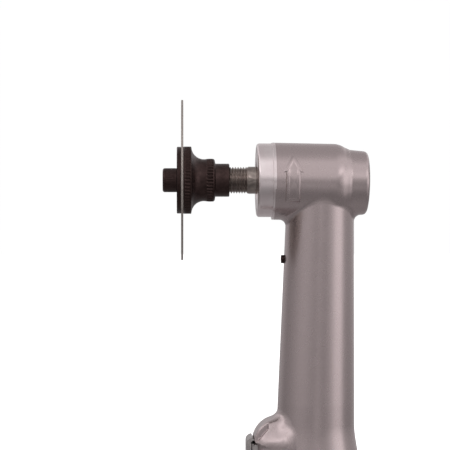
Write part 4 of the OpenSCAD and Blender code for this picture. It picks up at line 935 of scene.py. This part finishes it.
# Black anodising over turned aluminium: a deep, even black with a dull satin shine.
anodised = surface("aluminium_black_anodised", "#232223", 0.6, 0.38)
uneven(anodised, "Base Color", 1.2, 4, "#1E1D1E", "#2A292A")
uneven(anodised, "Normal", 0.4, 2, 0.003)
deflector = piece("exhaust_ring", *upright(deflector_profile, 8 * GRIP_COUNT, grip), anodised, "deflector",
                  slots_of["exhaust_deflector"], ["exhaust_deflector"], smooth=40)
for angle in range(-60, 61, 20):
    out = (math.cos(math.radians(angle)), math.sin(math.radians(angle)), 0)
    bore(deflector, (out[0] * DEFLECTOR_R, out[1] * DEFLECTOR_R, HOLE_Z), out, HOLE_R, 4, 24)

# ---------- Fittings and inner works ----------
# Pins, plugs, screws and gasket that show at the handle's ends, and the gears, bearings, motor and valve
# inside. Each keeps its own shape and gets the finish of its stock; those that show have their sharp
# edges broken.

# Turned brass, bright and slightly uneven.
brass = surface("brass_turned", "#C9A15A", 1, 0.26)
uneven(brass, "Base Color", 1.5, 3, "#BD954F", "#D2AC68")

# Case-hardened gear steel: dark grey and oily from its heat treatment.
gear = surface("case_hardened_steel_oiled", "#6E6A67", 1, 0.3)
uneven(gear, "Base Color", 1.2, 4, "#625E5B", "#7A7672")

# Ball bearing steel, polished nearly to a mirror.
polished = surface("bearing_steel_polished", "#C4C4C6", 1, 0.1)
uneven(polished, "Roughness", 1.5, 3, 0.08, 0.14)

# Moulded nitrile rubber: black, with a dull skin.
rubber = surface("nitrile_rubber_moulded", "#1C1C1C", 0, 0.55)
uneven(rubber, "Roughness", 0.5, 3, 0.5, 0.62)

# Vulcanised fibre: a hard green-grey paper sheet, cloudy and matt.
fibre = surface("vulcanised_fibre_sheet", "#3A4E42", 0, 0.75)
uneven(fibre, "Base Color", 0.6, 4, "#334539", "#44594C")

# Pressed wool felt. Its fibres are 0.02 mm thick and their clumps are drawn at 0.5 mm.
felt = surface("wool_felt_pressed", "#C7BDA2", 0, 0.95, Sheen_Weight=0.4)
uneven(felt, "Base Color", 0.5, 5, "#B8AD92", "#D2C9B0")
uneven(felt, "Normal", 0.35, 4, 0.15)

# Cotton cloth set in phenolic resin, cut across its layers: brown with a weave 0.8 mm apart.
cloth_resin = surface("phenolic_cotton_laminate", "#7A4A2A", 0, 0.5)
tree = cloth_resin.node_tree
weave = add(tree, "ShaderNodeTexWave", {
    "Vector": add(tree, "ShaderNodeTexCoord").outputs["Object"], "Scale": 1 / (0.8 * MM), "Distortion": 1.0})
weave_tone = add(tree, "ShaderNodeValToRGB", {"Fac": weave.outputs["Fac"]}, stops=[
    (0.2, linear("#6E4225")), (0.8, linear("#865433"))])
tree.links.new(weave_tone.outputs["Color"], tree.nodes["Principled BSDF"].inputs["Base Color"])

FINISHES = {
    "painted_casting": paint, "machined_aluminium": bare, "ground_steel": bright, "black_oxide": black,
    "disc_steel": steel_disc, "gear_steel": gear, "bearing_steel": polished, "brass": brass,
    "nitrile": rubber, "gasket_fibre": fibre, "felt": felt, "phenolic": cloth_resin, "lever_steel": nickel
}
EDGED = ["lever_pin", "valve_plug", "speed_regulator", "throttle_valve", "backhead_screws",
         "backhead_gasket", "muffler_felt", "inlet_washer", "spindle_circlip"]
for name, part in frame["nodes"].items():
    part.data.materials.clear()
    part.data.materials.append(FINISHES[slots_of[name]])
    if name in EDGED:
        weld = part.modifiers.new("weld", "WELD")
        weld.merge_threshold = 0.002 * MM
        flatten = part.modifiers.new("flatten", "DECIMATE")
        flatten.decimate_type = "DISSOLVE"
        flatten.angle_limit = math.radians(1)
        edge = part.modifiers.new("edge", "BEVEL")
        edge.width = 0.12 * MM
        edge.segments = 2
        edge.angle_limit = math.radians(40)
        edge.harden_normals = True
